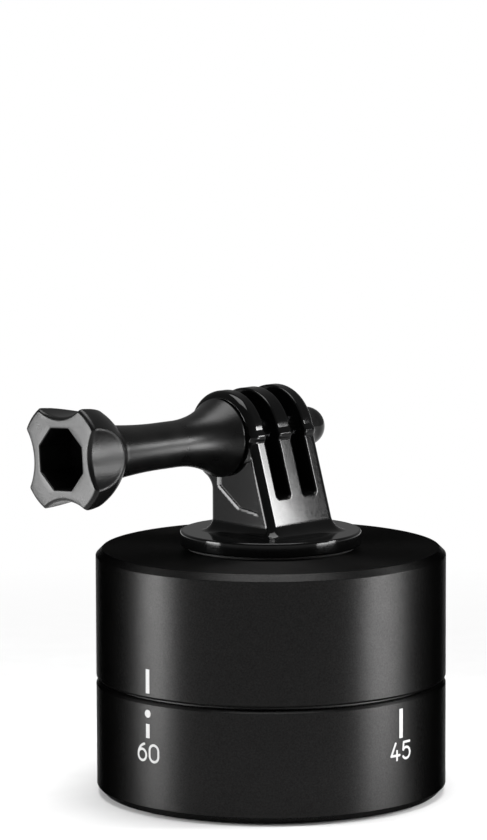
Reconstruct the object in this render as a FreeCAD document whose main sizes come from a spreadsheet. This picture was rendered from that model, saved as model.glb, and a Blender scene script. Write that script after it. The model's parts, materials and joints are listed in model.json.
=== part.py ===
"""Clockwork panning head for a small camera.

A drum in two halves stands on a rubber ring.  A spring-driven movement in the
lower half turns the upper half once an hour.  On top sits a three-pronged
adapter, and a long thumbscrew crosses its prongs.

Frame: +Z up, the origin on the standing surface at the drum's axis, front is -Y.
Millimetres and degrees.  Every size is a cell of the sheet "Dims".
"""
import FreeCAD, Part
import math
import os
import Sketcher

# ---------------------------------------------------------------- driving sizes
SIZES = {
    # clearances
    "fit_clearance": 0.05,
    "face_clearance": 0.1,
    "wall_clearance": 0.3,
    # drum
    "case_radius": 30.0,
    "case_wall": 1.8,
    "case_height": 42.3,
    "base_height": 19.5,
    "seam_gap": 0.5,
    "floor_thickness": 2.9,
    "lid_thickness": 3.0,
    "foot_chamfer": 1.25,
    "seam_chamfer": 0.45,
    "crown_chamfer": 1.1,
    # rubber ring under the drum
    "pad_inner_radius": 10.0,
    "pad_margin": 0.15,
    "pad_thickness": 1.0,
    "pad_projection": 0.3,
    # tripod bush, tapped 1/4 inch
    "bush_radius": 5.0,
    "bush_bore_radius": 2.55,
    "bush_length": 7.2,
    "bush_flange_radius": 6.8,
    "bush_flange_thickness": 1.2,
    "bush_boss_radius": 7.6,
    # nylon ring that guides the upper half
    "guide_ledge": 0.8,
    "guide_depth": 2.0,
    "guide_rise": 2.5,
    # plates and pillars of the movement
    "plate_margin": 0.9,
    "plate_thickness": 1.0,
    "plate_rise": 6.2,
    "plate_gap": 16.6,
    "pillar_inset": 3.7,
    "pillar_radius": 2.1,
    "boss_radius": 3.5,
    "pillar_count": 3,
    # screws of the movement and of the hub
    "screw_radius": 1.2,
    "screw_head_radius": 2.2,
    "screw_head_height": 1.5,
    "screw_socket_flats": 2.0,
    "screw_socket_depth": 0.9,
    "screw_grip": 4.0,
    "drill_allowance": 0.6,
    # driving arbor
    "arbor_radius": 2.0,
    "arbor_pivot_radius": 1.0,
    "arbor_pivot_length": 1.5,
    "arbor_shoulder_radius": 3.2,
    "arbor_shoulder_height": 1.2,
    "clutch_thickness": 0.5,
    "clutch_radius": 4.6,
    "clutch_notch_radius": 1.4,
    "clip_thickness": 0.6,
    "clip_radius": 3.1,
    # mainspring
    "spring_strip": 0.35,
    "spring_width": 5.0,
    "spring_lift": 1.1,
    "spring_inner_radius": 2.2,
    "spring_outer_radius": 11.0,
    "spring_turns": 7.0,
    "spring_post_radius": 0.8,
    "spring_post_angle": 200.0,
    # wheels: teeth, modules, thickness and heights over the lower plate
    "main_teeth": 60,
    "second_pinion_teeth": 12,
    "second_teeth": 48,
    "third_pinion_teeth": 12,
    "third_teeth": 40,
    "escape_pinion_teeth": 10,
    "escape_teeth": 20,
    "main_module": 0.36,
    "fine_module": 0.3,
    "wheel_thickness": 0.8,
    "wheel_web": 1.0,
    "wheel_holes": 5,
    "pinion_length": 3.4,
    "main_level": 7.6,
    "second_level": 10.4,
    "third_level": 12.8,
    "escape_level": 9.6,
    "balance_level": 12.2,
    "train_arbor_radius": 0.9,
    "train_pivot_radius": 0.5,
    "second_angle": 0.0,
    "third_angle": 110.0,
    "escape_angle": 150.0,
    "anchor_angle": 183.0,
    "tooth_backlash": 0.1,
    # escapement
    "escape_radius": 5.1,
    "escape_tooth_depth": 1.2,
    "pallet_pin_radius": 0.2,
    "pallet_pin_length": 2.4,
    "pallet_clearance": 0.08,
    "anchor_arm_width": 1.0,
    "anchor_hub_radius": 1.5,
    "balance_radius": 5.6,
    "balance_rim": 1.1,
    # hub under the lid
    "hub_flange_radius": 11.0,
    "hub_flange_thickness": 2.5,
    "hub_sleeve_radius": 5.0,
    "hub_rise": 1.0,
    "hub_web": 1.8,
    "hub_screw_circle": 8.2,
    "hub_pin_radius": 0.75,
    # camera screw, 1/4 inch
    "camera_screw_radius": 3.175,
    "camera_hole_clearance": 0.125,
    "camera_screw_length": 5.3,
    "camera_head_radius": 5.0,
    "camera_head_height": 2.0,
    "camera_slot_width": 1.2,
    "camera_slot_depth": 0.8,
    "camera_point_chamfer": 0.5,
    # adapter
    "adapter_angle": 45.0,
    "washer_radius": 14.5,
    "washer_thickness": 0.5,
    "disc_radius": 15.5,
    "disc_thickness": 2.5,
    "disc_chamfer": 0.3,
    "insert_radius": 4.6,
    "insert_length": 5.7,
    "insert_roof": 0.3,
    "prong_thickness": 3.0,
    "prong_gap": 3.2,
    "slot_floor": 8.9,
    "slot_corner": 0.7,
    "pivot_height": 18.65,
    "pivot_offset": 4.6,
    "eye_radius": 8.0,
    "eye_bore_radius": 2.6,
    "stem_front": 8.4,
    "stem_back": 7.1,
    "stem_fillet": 2.2,
    "eye_fillet": 1.2,
    "panel_depth": 0.35,
    "panel_margin": 1.3,
    "panel_front": 3.2,
    "panel_slant": 1.9,
    "panel_toe": 0.2,
    "nut_boss_radius": 5.5,
    "nut_boss_height": 1.0,
    # M5 cap nut
    "nut_flats": 8.0,
    "nut_height": 4.0,
    "nut_pocket_depth": 2.5,
    "dome_radius": 3.4,
    "dome_root": 1.0,
    "dome_length": 6.25,
    "dome_wall": 1.4,
    # thumbscrew
    "rod_radius": 2.475,
    "rod_grip": 22.0,
    "bell_radius": 6.7,
    "bell_rim": 0.5,
    "bell_curve": 20.0,
    "neck_radius": 3.95,
    "neck_start": 18.5,
    "neck_end": 22.0,
    "taper_curve": 90.0,
    "collar_radius": 4.75,
    "shoulder_end": 34.0,
    "shoulder_curve": 13.0,
    "knob_radius": 9.8,
    "knob_rim": 0.8,
    "knob_chamfer": 0.4,
    "knob_face": 44.3,
    "knob_turn": 4.3,
    "lobe_count": 4,
    "scallop_radius": 9.8,
    "scallop_floor": 7.0,
    "scallop_length": 14.0,
    "knob_recess_radius": 5.5,
    "knob_recess_depth": 7.0,
}

# sizes that follow from the ones above
DERIVED = {
    "inner_radius": "case_radius - case_wall",
    "base_inner_radius": "inner_radius - guide_ledge",
    "plate_radius": "base_inner_radius - plate_margin",
    "pillar_circle": "plate_radius - pillar_inset",
    "floor_top": "pad_projection + floor_thickness",
    "bush_seat": "bush_length - bush_flange_thickness",
    "guide_bottom": "base_height - guide_depth",
    "lid_rim": "base_height + seam_gap",
    "guide_top": "base_height + guide_rise",
    "lid_underside": "case_height - lid_thickness",
    "plate_bottom": "floor_top + plate_rise",
    "plate_top": "plate_bottom + plate_thickness",
    "bridge_bottom": "plate_top + plate_gap",
    "bridge_top": "bridge_bottom + plate_thickness",
    "screw_hole_radius": "screw_radius + fit_clearance",
    "counterbore_depth": "screw_head_height + face_clearance",
    "counterbore_radius": "screw_head_radius + 3 * fit_clearance",
    "pad_outer_radius": "pillar_circle - counterbore_radius - pad_margin",
    "case_screw_head": "pad_projection + counterbore_depth",
    "case_screw_length": "plate_top + screw_grip - case_screw_head",
    "arbor_bottom": "plate_top - arbor_pivot_length",
    "main_bottom": "plate_top + main_level",
    "main_top": "main_bottom + wheel_thickness",
    "shoulder_bottom": "main_bottom - arbor_shoulder_height",
    "clutch_top": "main_top + clutch_thickness",
    "hub_bottom": "lid_underside - hub_flange_thickness",
    "sleeve_bottom": "bridge_top + hub_rise",
    "head_bottom": "lid_underside - camera_head_height",
    "hub_bore_top": "head_bottom - hub_web",
    "arbor_top": "hub_bore_top - 2 * face_clearance",
    "hub_pin_level": "0.5 * sleeve_bottom + 0.5 * hub_bore_top",
    "camera_hole_radius": "camera_screw_radius + camera_hole_clearance",
    "washer_top": "case_height + washer_thickness",
    "stack_half": "1.5 * prong_thickness + prong_gap",
    "slot_inner": "0.5 * prong_thickness",
    "slot_outer": "slot_inner + prong_gap",
    "eye_top": "pivot_height + eye_radius",
    "boss_face": "stack_half + nut_boss_height",
    "nut_across": "nut_flats - 2 * fit_clearance",
    "nut_start": "boss_face - nut_pocket_depth + fit_clearance",
    "nut_end": "nut_start + nut_height",
    "dome_end": "nut_end + dome_length",
    "nut_bore_end": "dome_end - dome_wall",
    "rod_end": "nut_bore_end - wall_clearance",
    "bell_face": "stack_half + face_clearance",
    "rod_start": "bell_face + rod_grip",
    "scallop_y": "(scallop_floor + scallop_radius) * sin(knob_turn * 1 deg)",
    "scallop_z": "(scallop_floor + scallop_radius) * cos(knob_turn * 1 deg)",
    "recess_corner_1_y": "knob_recess_radius * cos(22.5 deg - knob_turn * 1 deg)",
    "recess_corner_1_z": "knob_recess_radius * sin(22.5 deg - knob_turn * 1 deg)",
    "recess_corner_2_y": "knob_recess_radius * cos(67.5 deg - knob_turn * 1 deg)",
    "recess_corner_2_z": "knob_recess_radius * sin(67.5 deg - knob_turn * 1 deg)",
    "second_reach": "0.5 * main_module * (main_teeth + second_pinion_teeth)",
    "third_reach": "0.5 * fine_module * (second_teeth + third_pinion_teeth)",
    "escape_reach": "0.5 * fine_module * (third_teeth + escape_pinion_teeth)",
    "pallet_half_angle": "180 * (floor(escape_teeth / 4) + 0.5) / escape_teeth",
    "pallet_circle": "escape_radius + pallet_pin_radius + pallet_clearance",
    "anchor_reach": "pallet_circle / cos(pallet_half_angle * 1 deg)",
    "second_x": "second_reach * cos(second_angle * 1 deg)",
    "second_y": "second_reach * sin(second_angle * 1 deg)",
    "third_x": "second_x + third_reach * cos(third_angle * 1 deg)",
    "third_y": "second_y + third_reach * sin(third_angle * 1 deg)",
    "escape_x": "third_x + escape_reach * cos(escape_angle * 1 deg)",
    "escape_y": "third_y + escape_reach * sin(escape_angle * 1 deg)",
    "anchor_x": "escape_x + anchor_reach * cos(anchor_angle * 1 deg)",
    "anchor_y": "escape_y + anchor_reach * sin(anchor_angle * 1 deg)",
}

ARBORS = ("second", "third", "escape", "anchor")

# tooth forms: heights in modules, half widths of an escape tooth in pitches
PRESSURE_ANGLE = math.radians(20)
ADDENDUM = 0.9
DEDENDUM = 1.3
FLANK_STEPS = 4
ESCAPE_ROOT_SHARE = 0.16
ESCAPE_TIP_SHARE = 0.03
SPRING_POINTS_PER_TURN = 24

# a length and a volume too small to matter
TOLERANCE = 1e-3
NO_VOLUME = 1e-6

doc = FreeCAD.newDocument("PanningHead")
dims = doc.addObject("Spreadsheet::Sheet", "Dims")


def fill_sheet():
    """One row per size: its name, its value and its alias."""
    row = 1
    for name, number in SIZES.items():
        dims.set("A%d" % row, name)
        dims.set("B%d" % row, str(number))
        dims.setAlias("B%d" % row, name)
        row += 1
    doc.recompute()
    for name, formula in DERIVED.items():
        dims.set("A%d" % row, name)
        dims.set("B%d" % row, "=" + formula)
        dims.setAlias("B%d" % row, name)
        doc.recompute()
        row += 1


fill_sheet()


def size(name):
    """A cell's value."""
    return float(dims.get(name))


def value(expression):
    """The value of a sum of products of sizes and numbers."""
    total = 0.0
    for term in expression.replace(" ", "").replace("-", "+-").split("+"):
        if not term:
            continue
        sign = -1.0 if term.startswith("-") else 1.0
        product = 1.0
        for factor in term.lstrip("-").split("*"):
            named = factor in SIZES or factor in DERIVED
            product *= size(factor) if named else float(factor)
        total += sign * product
    return total


def bound(expression):
    """The same sum, written for an object's expression."""
    spaced = expression
    for sign in "+-*":
        spaced = spaced.replace(sign, " %s " % sign)
    words = spaced.split()
    named = ["Dims." + w if w in SIZES or w in DERIVED else w for w in words]
    return " ".join(named)


# ---------------------------------------------------------------- sketch helpers
def plane_of(body, role):
    return [f for f in body.Origin.OriginFeatures if f.Role == role][0]


def new_body(label):
    body = doc.addObject("PartDesign::Body", label)
    body.Label = label
    return body


def new_sketch(body, role, offset=None):
    """A sketch on one of the body's own planes, moved along its normal."""
    sketch = body.newObject("Sketcher::SketchObject", "Sketch")
    sketch.AttachmentSupport = (plane_of(body, role), [""])
    sketch.MapMode = "FlatFace"
    if offset:
        sketch.setExpression("AttachmentOffset.Base.z", bound(offset))
    return sketch


def dimension(sketch, kind, where, expression):
    """A dimension bound to the sheet; a zero becomes a point on the axis."""
    if expression == "0":
        axis = -2 if kind == "DistanceX" else -1
        sketch.addConstraint(Sketcher.Constraint("PointOnObject", *where, axis))
        return
    index = sketch.addConstraint(
        Sketcher.Constraint(kind, *where, value(expression)))
    name = "d%d" % index
    sketch.renameConstraint(index, name)
    sketch.setExpression("Constraints." + name, bound(expression))


def arc_between(start, end, radius, left):
    """The minor arc of a radius, with its centre left or right of the chord,
    running anticlockwise; the second result tells whether it runs from start."""
    chord = end - start
    middle = (start + end) * 0.5
    rise = math.sqrt(max(radius ** 2 - (chord.Length / 2) ** 2, 0.0))
    normal = FreeCAD.Vector(-chord.y, chord.x, 0).normalize()
    centre = middle + normal * (rise if left else -rise)
    ends = (start, end) if left else (end, start)
    first, last = (math.atan2(p.y - centre.y, p.x - centre.x) for p in ends)
    if last < first:
        last += 2 * math.pi
    round_edge = Part.Circle(centre, FreeCAD.Vector(0, 0, 1), radius)
    return Part.ArcOfCircle(round_edge, first, last), left


def closed_profile(sketch, corners, arcs=None):
    """A closed outline; arcs maps a corner's index to (radius, side) of the
    arc that leads to the next corner."""
    arcs = arcs or {}
    points = [FreeCAD.Vector(value(x), value(y), 0) for x, y in corners]
    count = len(points)
    first = len(sketch.Geometry)
    starts, ends = [], []
    for i in range(count):
        start, end = points[i], points[(i + 1) % count]
        if i in arcs:
            radius, left = arcs[i]
            arc, forward = arc_between(start, end, value(radius), left)
            geo = sketch.addGeometry(arc)
            starts.append((geo, 1 if forward else 2))
            ends.append((geo, 2 if forward else 1))
        else:
            geo = sketch.addGeometry(Part.LineSegment(start, end))
            starts.append((geo, 1))
            ends.append((geo, 2))
    for i in range(count):
        sketch.addConstraint(
            Sketcher.Constraint("Coincident", *ends[i - 1], *starts[i]))
    for i, (x, y) in enumerate(corners):
        dimension(sketch, "DistanceX", starts[i], x)
        dimension(sketch, "DistanceY", starts[i], y)
    for i, (radius, _) in arcs.items():
        dimension(sketch, "Radius", (first + i,), radius)
    return sketch


def circle(sketch, x, y, radius):
    centre = FreeCAD.Vector(value(x), value(y), 0)
    geo = sketch.addGeometry(
        Part.Circle(centre, FreeCAD.Vector(0, 0, 1), value(radius)))
    dimension(sketch, "DistanceX", (geo, 3), x)
    dimension(sketch, "DistanceY", (geo, 3), y)
    dimension(sketch, "Radius", (geo,), radius)
    return sketch


def hexagon(sketch, x, y, flats):
    """A hexagon with two corners above and below its centre."""
    half = "0.5*" + flats
    side = "%.6f*%s" % (0.5 * math.tan(math.radians(30)), flats)
    peak = "%.6f*%s" % (0.5 / math.cos(math.radians(30)), flats)
    minus_half = "-" + half
    minus_side = "-" + side
    corners = [(half, minus_side), (half, side), ("0", peak),
               (minus_half, side), (minus_half, minus_side), ("0", "-" + peak)]
    moved = [(join(x, dx), join(y, dy)) for dx, dy in corners]
    return closed_profile(sketch, moved)


def join(first, second):
    """The sum of two expressions, either of which may be zero."""
    if second == "0":
        return first
    if first == "0":
        return second
    return first + ("" if second.startswith("-") else "+") + second


def checked(body, feature, before, grows):
    """Makes the feature the body's tip and proves that it did something."""
    body.Tip = feature
    doc.recompute()
    after = body.Shape.Volume
    if grows and after <= before + NO_VOLUME:
        raise RuntimeError("%s added nothing" % feature.Label)
    if not grows and after >= before - NO_VOLUME:
        raise RuntimeError("%s cut nothing" % feature.Label)
    return feature


def volume(body):
    return 0.0 if body.Shape.isNull() else body.Shape.Volume


def revolve(body, sketch, axis="V_Axis"):
    before = volume(body)
    feature = body.newObject("PartDesign::Revolution", "Revolution")
    feature.Profile = sketch
    feature.ReferenceAxis = (sketch, [axis])
    feature.Angle = 360
    return checked(body, feature, before, True)


def extrude(body, sketch, length, cut=False, backwards=False, both=False):
    """A Pad, or a Pocket, of a length given as an expression."""
    doc.recompute()
    before = volume(body)
    kind = "Pocket" if cut else "Pad"
    feature = body.newObject("PartDesign::" + kind, kind)
    feature.Profile = sketch
    feature.Length = abs(value(length))
    feature.setExpression("Length", bound(length))
    feature.Midplane = both
    feature.Reversed = backwards
    return checked(body, feature, before, not cut)


def polar(body, features, count, role="Z_Axis"):
    """Copies of features about one of the body's axes."""
    doc.recompute()
    before = volume(body)
    pattern = body.newObject("PartDesign::PolarPattern", "PolarPattern")
    pattern.Originals = features
    pattern.Axis = (plane_of(body, role), [""])
    pattern.Angle = 360
    pattern.Occurrences = int(size(count))
    pattern.setExpression("Occurrences", bound(count))
    body.Tip = pattern
    doc.recompute()
    if abs(volume(body) - before) < NO_VOLUME:
        raise RuntimeError("%s: the pattern made nothing" % body.Label)
    return pattern


def mirrored(body, features, role):
    doc.recompute()
    mirror = body.newObject("PartDesign::Mirrored", "Mirrored")
    mirror.Originals = features
    mirror.MirrorPlane = (plane_of(body, role), [""])
    body.Tip = mirror
    doc.recompute()
    return mirror


def lathe(label, corners, arcs=None):
    """A body turned about Z from an outline of (radius, height) corners."""
    body = new_body(label)
    sketch = closed_profile(new_sketch(body, "XZ_Plane"), corners, arcs)
    revolve(body, sketch)
    return body


def place(thing, x="0", y="0", z="0", turn=None, flip=False):
    """Puts a sub-part where expressions of the sheet say."""
    for axis, expression in (("x", x), ("y", y), ("z", z)):
        thing.setExpression("Placement.Base." + axis, expression)
    if flip:
        thing.Placement.Rotation = FreeCAD.Rotation(FreeCAD.Vector(1, 0, 0), 180)
    if turn is not None:
        thing.Placement.Rotation = FreeCAD.Rotation(FreeCAD.Vector(0, 0, 1), turn)
    return thing


def on_circle(radius, angle):
    """Expressions of a point on a circle about the drum's axis."""
    x = "Dims.%s * cos(%g deg)" % (radius, angle)
    y = "Dims.%s * sin(%g deg)" % (radius, angle)
    return x, y


def shares(count, first=90.0):
    """Angles of equal shares of a turn."""
    number = int(size(count))
    return [first + 360.0 * i / number for i in range(number)]


# ---------------------------------------------------------------- drum
def make_base_shell():
    """Lower half: floor, wall with a ledge for the guide ring, bush boss."""
    corners = [
        ("bush_radius+fit_clearance", "pad_projection"),
        ("pad_inner_radius-fit_clearance", "pad_projection"),
        ("pad_inner_radius-fit_clearance", "pad_thickness"),
        ("pad_outer_radius+fit_clearance", "pad_thickness"),
        ("pad_outer_radius+fit_clearance", "pad_projection"),
        ("case_radius-foot_chamfer", "pad_projection"),
        ("case_radius", "pad_projection+foot_chamfer"),
        ("case_radius", "base_height-seam_chamfer"),
        ("case_radius-seam_chamfer", "base_height"),
        ("inner_radius", "base_height"),
        ("inner_radius", "guide_bottom"),
        ("base_inner_radius", "guide_bottom"),
        ("base_inner_radius", "floor_top"),
        ("bush_boss_radius", "floor_top"),
        ("bush_boss_radius", "bush_seat"),
        ("bush_radius+fit_clearance", "bush_seat"),
    ]
    body = lathe("base_shell", corners)
    boss_sketch = new_sketch(body, "XY_Plane", "floor_top")
    circle(boss_sketch, "0", "pillar_circle", "boss_radius")
    boss = extrude(body, boss_sketch, "plate_rise")
    polar(body, [boss], "pillar_count")
    hole_sketch = new_sketch(body, "XY_Plane", "plate_bottom")
    circle(hole_sketch, "0", "pillar_circle", "screw_hole_radius")
    hole = extrude(body, hole_sketch, "plate_bottom", cut=True)
    polar(body, [hole], "pillar_count")
    bore_sketch = new_sketch(body, "XY_Plane", "case_screw_head")
    circle(bore_sketch, "0", "pillar_circle", "counterbore_radius")
    bore = extrude(body, bore_sketch, "case_screw_head", cut=True)
    polar(body, [bore], "pillar_count")
    return body


def make_top_shell():
    """Upper half: a cap with a hole for the camera screw."""
    corners = [
        ("camera_hole_radius", "lid_underside"),
        ("inner_radius", "lid_underside"),
        ("inner_radius", "lid_rim"),
        ("case_radius-seam_chamfer", "lid_rim"),
        ("case_radius", "lid_rim+seam_chamfer"),
        ("case_radius", "case_height-crown_chamfer"),
        ("case_radius-crown_chamfer", "case_height"),
        ("camera_hole_radius", "case_height"),
    ]
    body = lathe("top_shell", corners)
    sketch = new_sketch(body, "XY_Plane", "lid_underside")
    circle(sketch, "0", "hub_screw_circle", "screw_hole_radius")
    hole = extrude(body, sketch, "screw_grip-hub_flange_thickness+drill_allowance",
                   cut=True, backwards=True)
    polar(body, [hole], "pillar_count")
    return body


def make_foot_pad():
    return lathe("foot_pad", [
        ("pad_inner_radius", "0"),
        ("pad_outer_radius", "0"),
        ("pad_outer_radius", "pad_thickness"),
        ("pad_inner_radius", "pad_thickness"),
    ])


def make_tripod_bush():
    """Steel bush, level with the rubber ring's face, flanged inside."""
    return lathe("tripod_bush", [
        ("bush_bore_radius", "0"),
        ("bush_radius", "0"),
        ("bush_radius", "bush_seat"),
        ("bush_flange_radius", "bush_seat"),
        ("bush_flange_radius", "bush_length"),
        ("bush_bore_radius", "bush_length"),
    ])


def make_glide_ring():
    return lathe("glide_ring", [
        ("base_inner_radius", "guide_bottom"),
        ("inner_radius-fit_clearance", "guide_bottom"),
        ("inner_radius-fit_clearance", "guide_top"),
        ("base_inner_radius", "guide_top"),
    ])


# ---------------------------------------------------------------- fasteners
def make_cap_screw(label, length):
    """Socket-head screw: seat of the head at z = 0, shank down."""
    body = lathe(label, [
        ("0", "-" + length),
        ("screw_radius", "-" + length),
        ("screw_radius", "0"),
        ("screw_head_radius", "0"),
        ("screw_head_radius", "screw_head_height"),
        ("0", "screw_head_height"),
    ])
    sketch = new_sketch(body, "XY_Plane", "screw_head_height")
    hexagon(sketch, "0", "0", "screw_socket_flats")
    extrude(body, sketch, "screw_socket_depth", cut=True)
    return body


def make_screws():
    for number, angle in enumerate(shares("pillar_count"), 1):
        x, y = on_circle("pillar_circle", angle)
        case_screw = make_cap_screw("case_screw_%d" % number, "case_screw_length")
        place(case_screw, x, y, "Dims.case_screw_head", flip=True)
        plate_screw = make_cap_screw("plate_screw_%d" % number, "screw_grip")
        place(plate_screw, x, y, "Dims.bridge_top")
        x, y = on_circle("hub_screw_circle", angle)
        hub_screw = make_cap_screw("hub_screw_%d" % number, "screw_grip")
        place(hub_screw, x, y, "Dims.hub_bottom", flip=True)


# ---------------------------------------------------------------- movement frame
def drilled(shape, points, radius):
    """The shape with vertical through holes."""
    overrun = size("wheel_thickness")
    length = shape.BoundBox.ZLength + 2 * overrun
    for point in points:
        base = FreeCAD.Vector(point.x, point.y, shape.BoundBox.ZMin - overrun)
        shape = shape.cut(Part.makeCylinder(radius, length, base))
    return shape


def feature(label, shape):
    """A sub-part whose shape comes from formulas."""
    thing = doc.addObject("Part::Feature", label)
    thing.Label = label
    thing.Shape = shape
    return thing


def make_plate(label, level, centre_hole):
    """A disc with holes for the pillars' screws and for the pivots."""
    body = new_body(label)
    sketch = new_sketch(body, "XY_Plane", level)
    circle(sketch, "0", "0", "plate_radius")
    extrude(body, sketch, "plate_thickness")
    holes = new_sketch(body, "XY_Plane", level)
    circle(holes, "0", "pillar_circle", "screw_hole_radius")
    hole = extrude(body, holes, "plate_thickness", cut=True, backwards=True)
    polar(body, [hole], "pillar_count")
    pivots = new_sketch(body, "XY_Plane", level)
    circle(pivots, "0", "0", centre_hole)
    for name in ARBORS:
        circle(pivots, name + "_x", name + "_y", "train_pivot_radius+fit_clearance")
    extrude(body, pivots, "plate_thickness", cut=True, backwards=True)
    return body


def make_pillars():
    for number, angle in enumerate(shares("pillar_count"), 1):
        pillar = lathe("pillar_%d" % number, [
            ("screw_hole_radius", "0"),
            ("pillar_radius", "0"),
            ("pillar_radius", "plate_gap"),
            ("screw_hole_radius", "plate_gap"),
        ])
        x, y = on_circle("pillar_circle", angle)
        place(pillar, x, y, "Dims.plate_top")


def make_mainspring():
    """A flat strip wound in a spiral, its outer end at the spring post."""
    half = size("spring_strip") / 2
    inner, outer = size("spring_inner_radius") + half, size("spring_outer_radius")
    turns = size("spring_turns")
    last = math.radians(size("spring_post_angle"))
    samples = int(SPRING_POINTS_PER_TURN * turns) + 1

    def edge_point(share, shift):
        angle = last - 2 * math.pi * turns * (1 - share)
        radius = inner + (outer - inner) * share + shift
        return FreeCAD.Vector(radius * math.cos(angle), radius * math.sin(angle), 0)

    sides = []
    for shift in (-half, half):
        curve = Part.BSplineCurve()
        curve.interpolate([edge_point(i / (samples - 1), shift)
                           for i in range(samples)])
        sides.append(curve.toShape())
    caps = [Part.makeLine(edge_point(share, -half), edge_point(share, half))
            for share in (0.0, 1.0)]
    wire = Part.Wire(Part.__sortEdges__(sides + caps))
    strip = Part.Face(wire).extrude(FreeCAD.Vector(0, 0, size("spring_width")))
    spring = feature("mainspring", strip)
    place(spring, z="Dims.plate_top + Dims.spring_lift")


def make_spring_post():
    """The post on the lower plate that holds the spring's outer end."""
    post = doc.addObject("Part::Cylinder", "spring_post")
    post.Label = "spring_post"
    post.setExpression("Radius", bound("spring_post_radius"))
    post.setExpression("Height", bound("spring_lift+spring_width"))
    reach = "(Dims.spring_outer_radius + 0.5 * Dims.spring_strip" \
            " + Dims.spring_post_radius + Dims.fit_clearance)"
    place(post, reach + " * cos(Dims.spring_post_angle * 1 deg)",
          reach + " * sin(Dims.spring_post_angle * 1 deg)", "Dims.plate_top")


# ---------------------------------------------------------------- wheels
def involute(angle):
    return math.tan(angle) - angle


def toothed_face(teeth, module, turn):
    """The outline of an involute wheel with one tooth at the angle turn."""
    pitch_radius = teeth * module / 2
    base_radius = pitch_radius * math.cos(PRESSURE_ANGLE)
    tip = pitch_radius + ADDENDUM * module
    root = pitch_radius - DEDENDUM * module
    half = math.pi / (2 * teeth) - size("tooth_backlash") / (4 * pitch_radius)
    foot = max(root, base_radius)
    radii = [foot + (tip - foot) * i / FLANK_STEPS for i in range(FLANK_STEPS + 1)]
    if root < base_radius:
        radii.insert(0, root)

    def half_width(radius):
        pressure = math.acos(min(1.0, base_radius / max(radius, base_radius)))
        return half + involute(PRESSURE_ANGLE) - involute(pressure)

    def at(radius, angle):
        return FreeCAD.Vector(radius * math.cos(angle), radius * math.sin(angle), 0)

    edges = []
    pitch = 2 * math.pi / teeth
    for k in range(teeth):
        middle = math.radians(turn) + k * pitch
        rising = [at(r, middle - half_width(r)) for r in radii]
        falling = [at(r, middle + half_width(r)) for r in reversed(radii)]
        edges += [Part.makeLine(p, q) for p, q in zip(rising, rising[1:])]
        edges.append(Part.Arc(rising[-1], at(tip, middle), falling[0]).toShape())
        edges += [Part.makeLine(p, q) for p, q in zip(falling, falling[1:])]
        next_start = at(root, middle + pitch - half_width(radii[0]))
        edges.append(Part.Arc(falling[-1], at(root, middle + pitch / 2),
                              next_start).toShape())
    return Part.Face(Part.Wire(edges))


def lightened(shape, rim, bore):
    """A ring of round holes, with a web left at the rim and at the bore."""
    count = int(size("wheel_holes"))
    radius = (rim + bore) / 2
    points = [FreeCAD.Vector(radius * math.cos(2 * math.pi * i / count),
                             radius * math.sin(2 * math.pi * i / count), 0)
              for i in range(count)]
    return drilled(shape, points, (rim - bore) / 2 - size("wheel_web"))


def at_arbor(thing, arbor, level):
    """Puts a sub-part on an arbor's axis, level above the lower plate."""
    height = "Dims.plate_top + " + level
    if arbor == "main":
        return place(thing, z=height)
    return place(thing, "Dims.%s_x" % arbor, "Dims.%s_y" % arbor, height)


def make_wheel(name, module, bore, toward):
    """A brass wheel on its arbor, with one tooth at the angle toward."""
    teeth = int(size(name + "_teeth"))
    shape = toothed_face(teeth, module, size(toward))
    shape = shape.extrude(FreeCAD.Vector(0, 0, size("wheel_thickness")))
    rim = teeth * module / 2 - DEDENDUM * module
    shape = lightened(shape, rim, bore)
    shape = drilled(shape, [FreeCAD.Vector(0, 0, 0)], bore + size("fit_clearance"))
    return at_arbor(feature(name + "_wheel", shape), name, "Dims.%s_level" % name)


def make_train_arbor(name, pinion=None):
    """A steel arbor between the plates, with a pinion cut from the solid."""
    end_shake = size("face_clearance")
    gap = size("plate_gap")
    plate = size("plate_thickness")
    shape = Part.makeCylinder(size("train_arbor_radius"), gap - 2 * end_shake,
                              FreeCAD.Vector(0, 0, end_shake))
    shape = shape.fuse(Part.makeCylinder(size("train_pivot_radius"), gap + 2 * plate,
                                         FreeCAD.Vector(0, 0, -plate)))
    if pinion:
        shape = shape.fuse(pinion)
    return at_arbor(feature(name + "_arbor", shape.removeSplitter()), name, "0")


def make_pinion(name, module, driver):
    """Teeth that stand in the driving wheel's gaps, centred on that wheel."""
    teeth = int(size(name + "_pinion_teeth"))
    turn = size(name + "_angle") + 180 + 180 / teeth
    length = size("pinion_length")
    pinion = toothed_face(teeth, module, turn).extrude(FreeCAD.Vector(0, 0, length))
    bottom = size(driver + "_level") - (length - size("wheel_thickness")) / 2
    pinion.translate(FreeCAD.Vector(0, 0, bottom))
    return pinion


def make_train():
    """Main wheel to escape wheel: each wheel shows a tooth to the next pinion."""
    coarse = size("main_module")
    fine = size("fine_module")
    thin = size("train_arbor_radius")
    make_wheel("main", coarse, size("arbor_radius"), "second_angle")
    make_train_arbor("second", make_pinion("second", coarse, "main"))
    make_wheel("second", fine, thin, "third_angle")
    make_train_arbor("third", make_pinion("third", fine, "second"))
    make_wheel("third", fine, thin, "escape_angle")
    make_train_arbor("escape", make_pinion("escape", fine, "third"))
    make_escape_wheel()
    make_train_arbor("anchor")
    make_anchor()
    make_balance()


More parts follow.
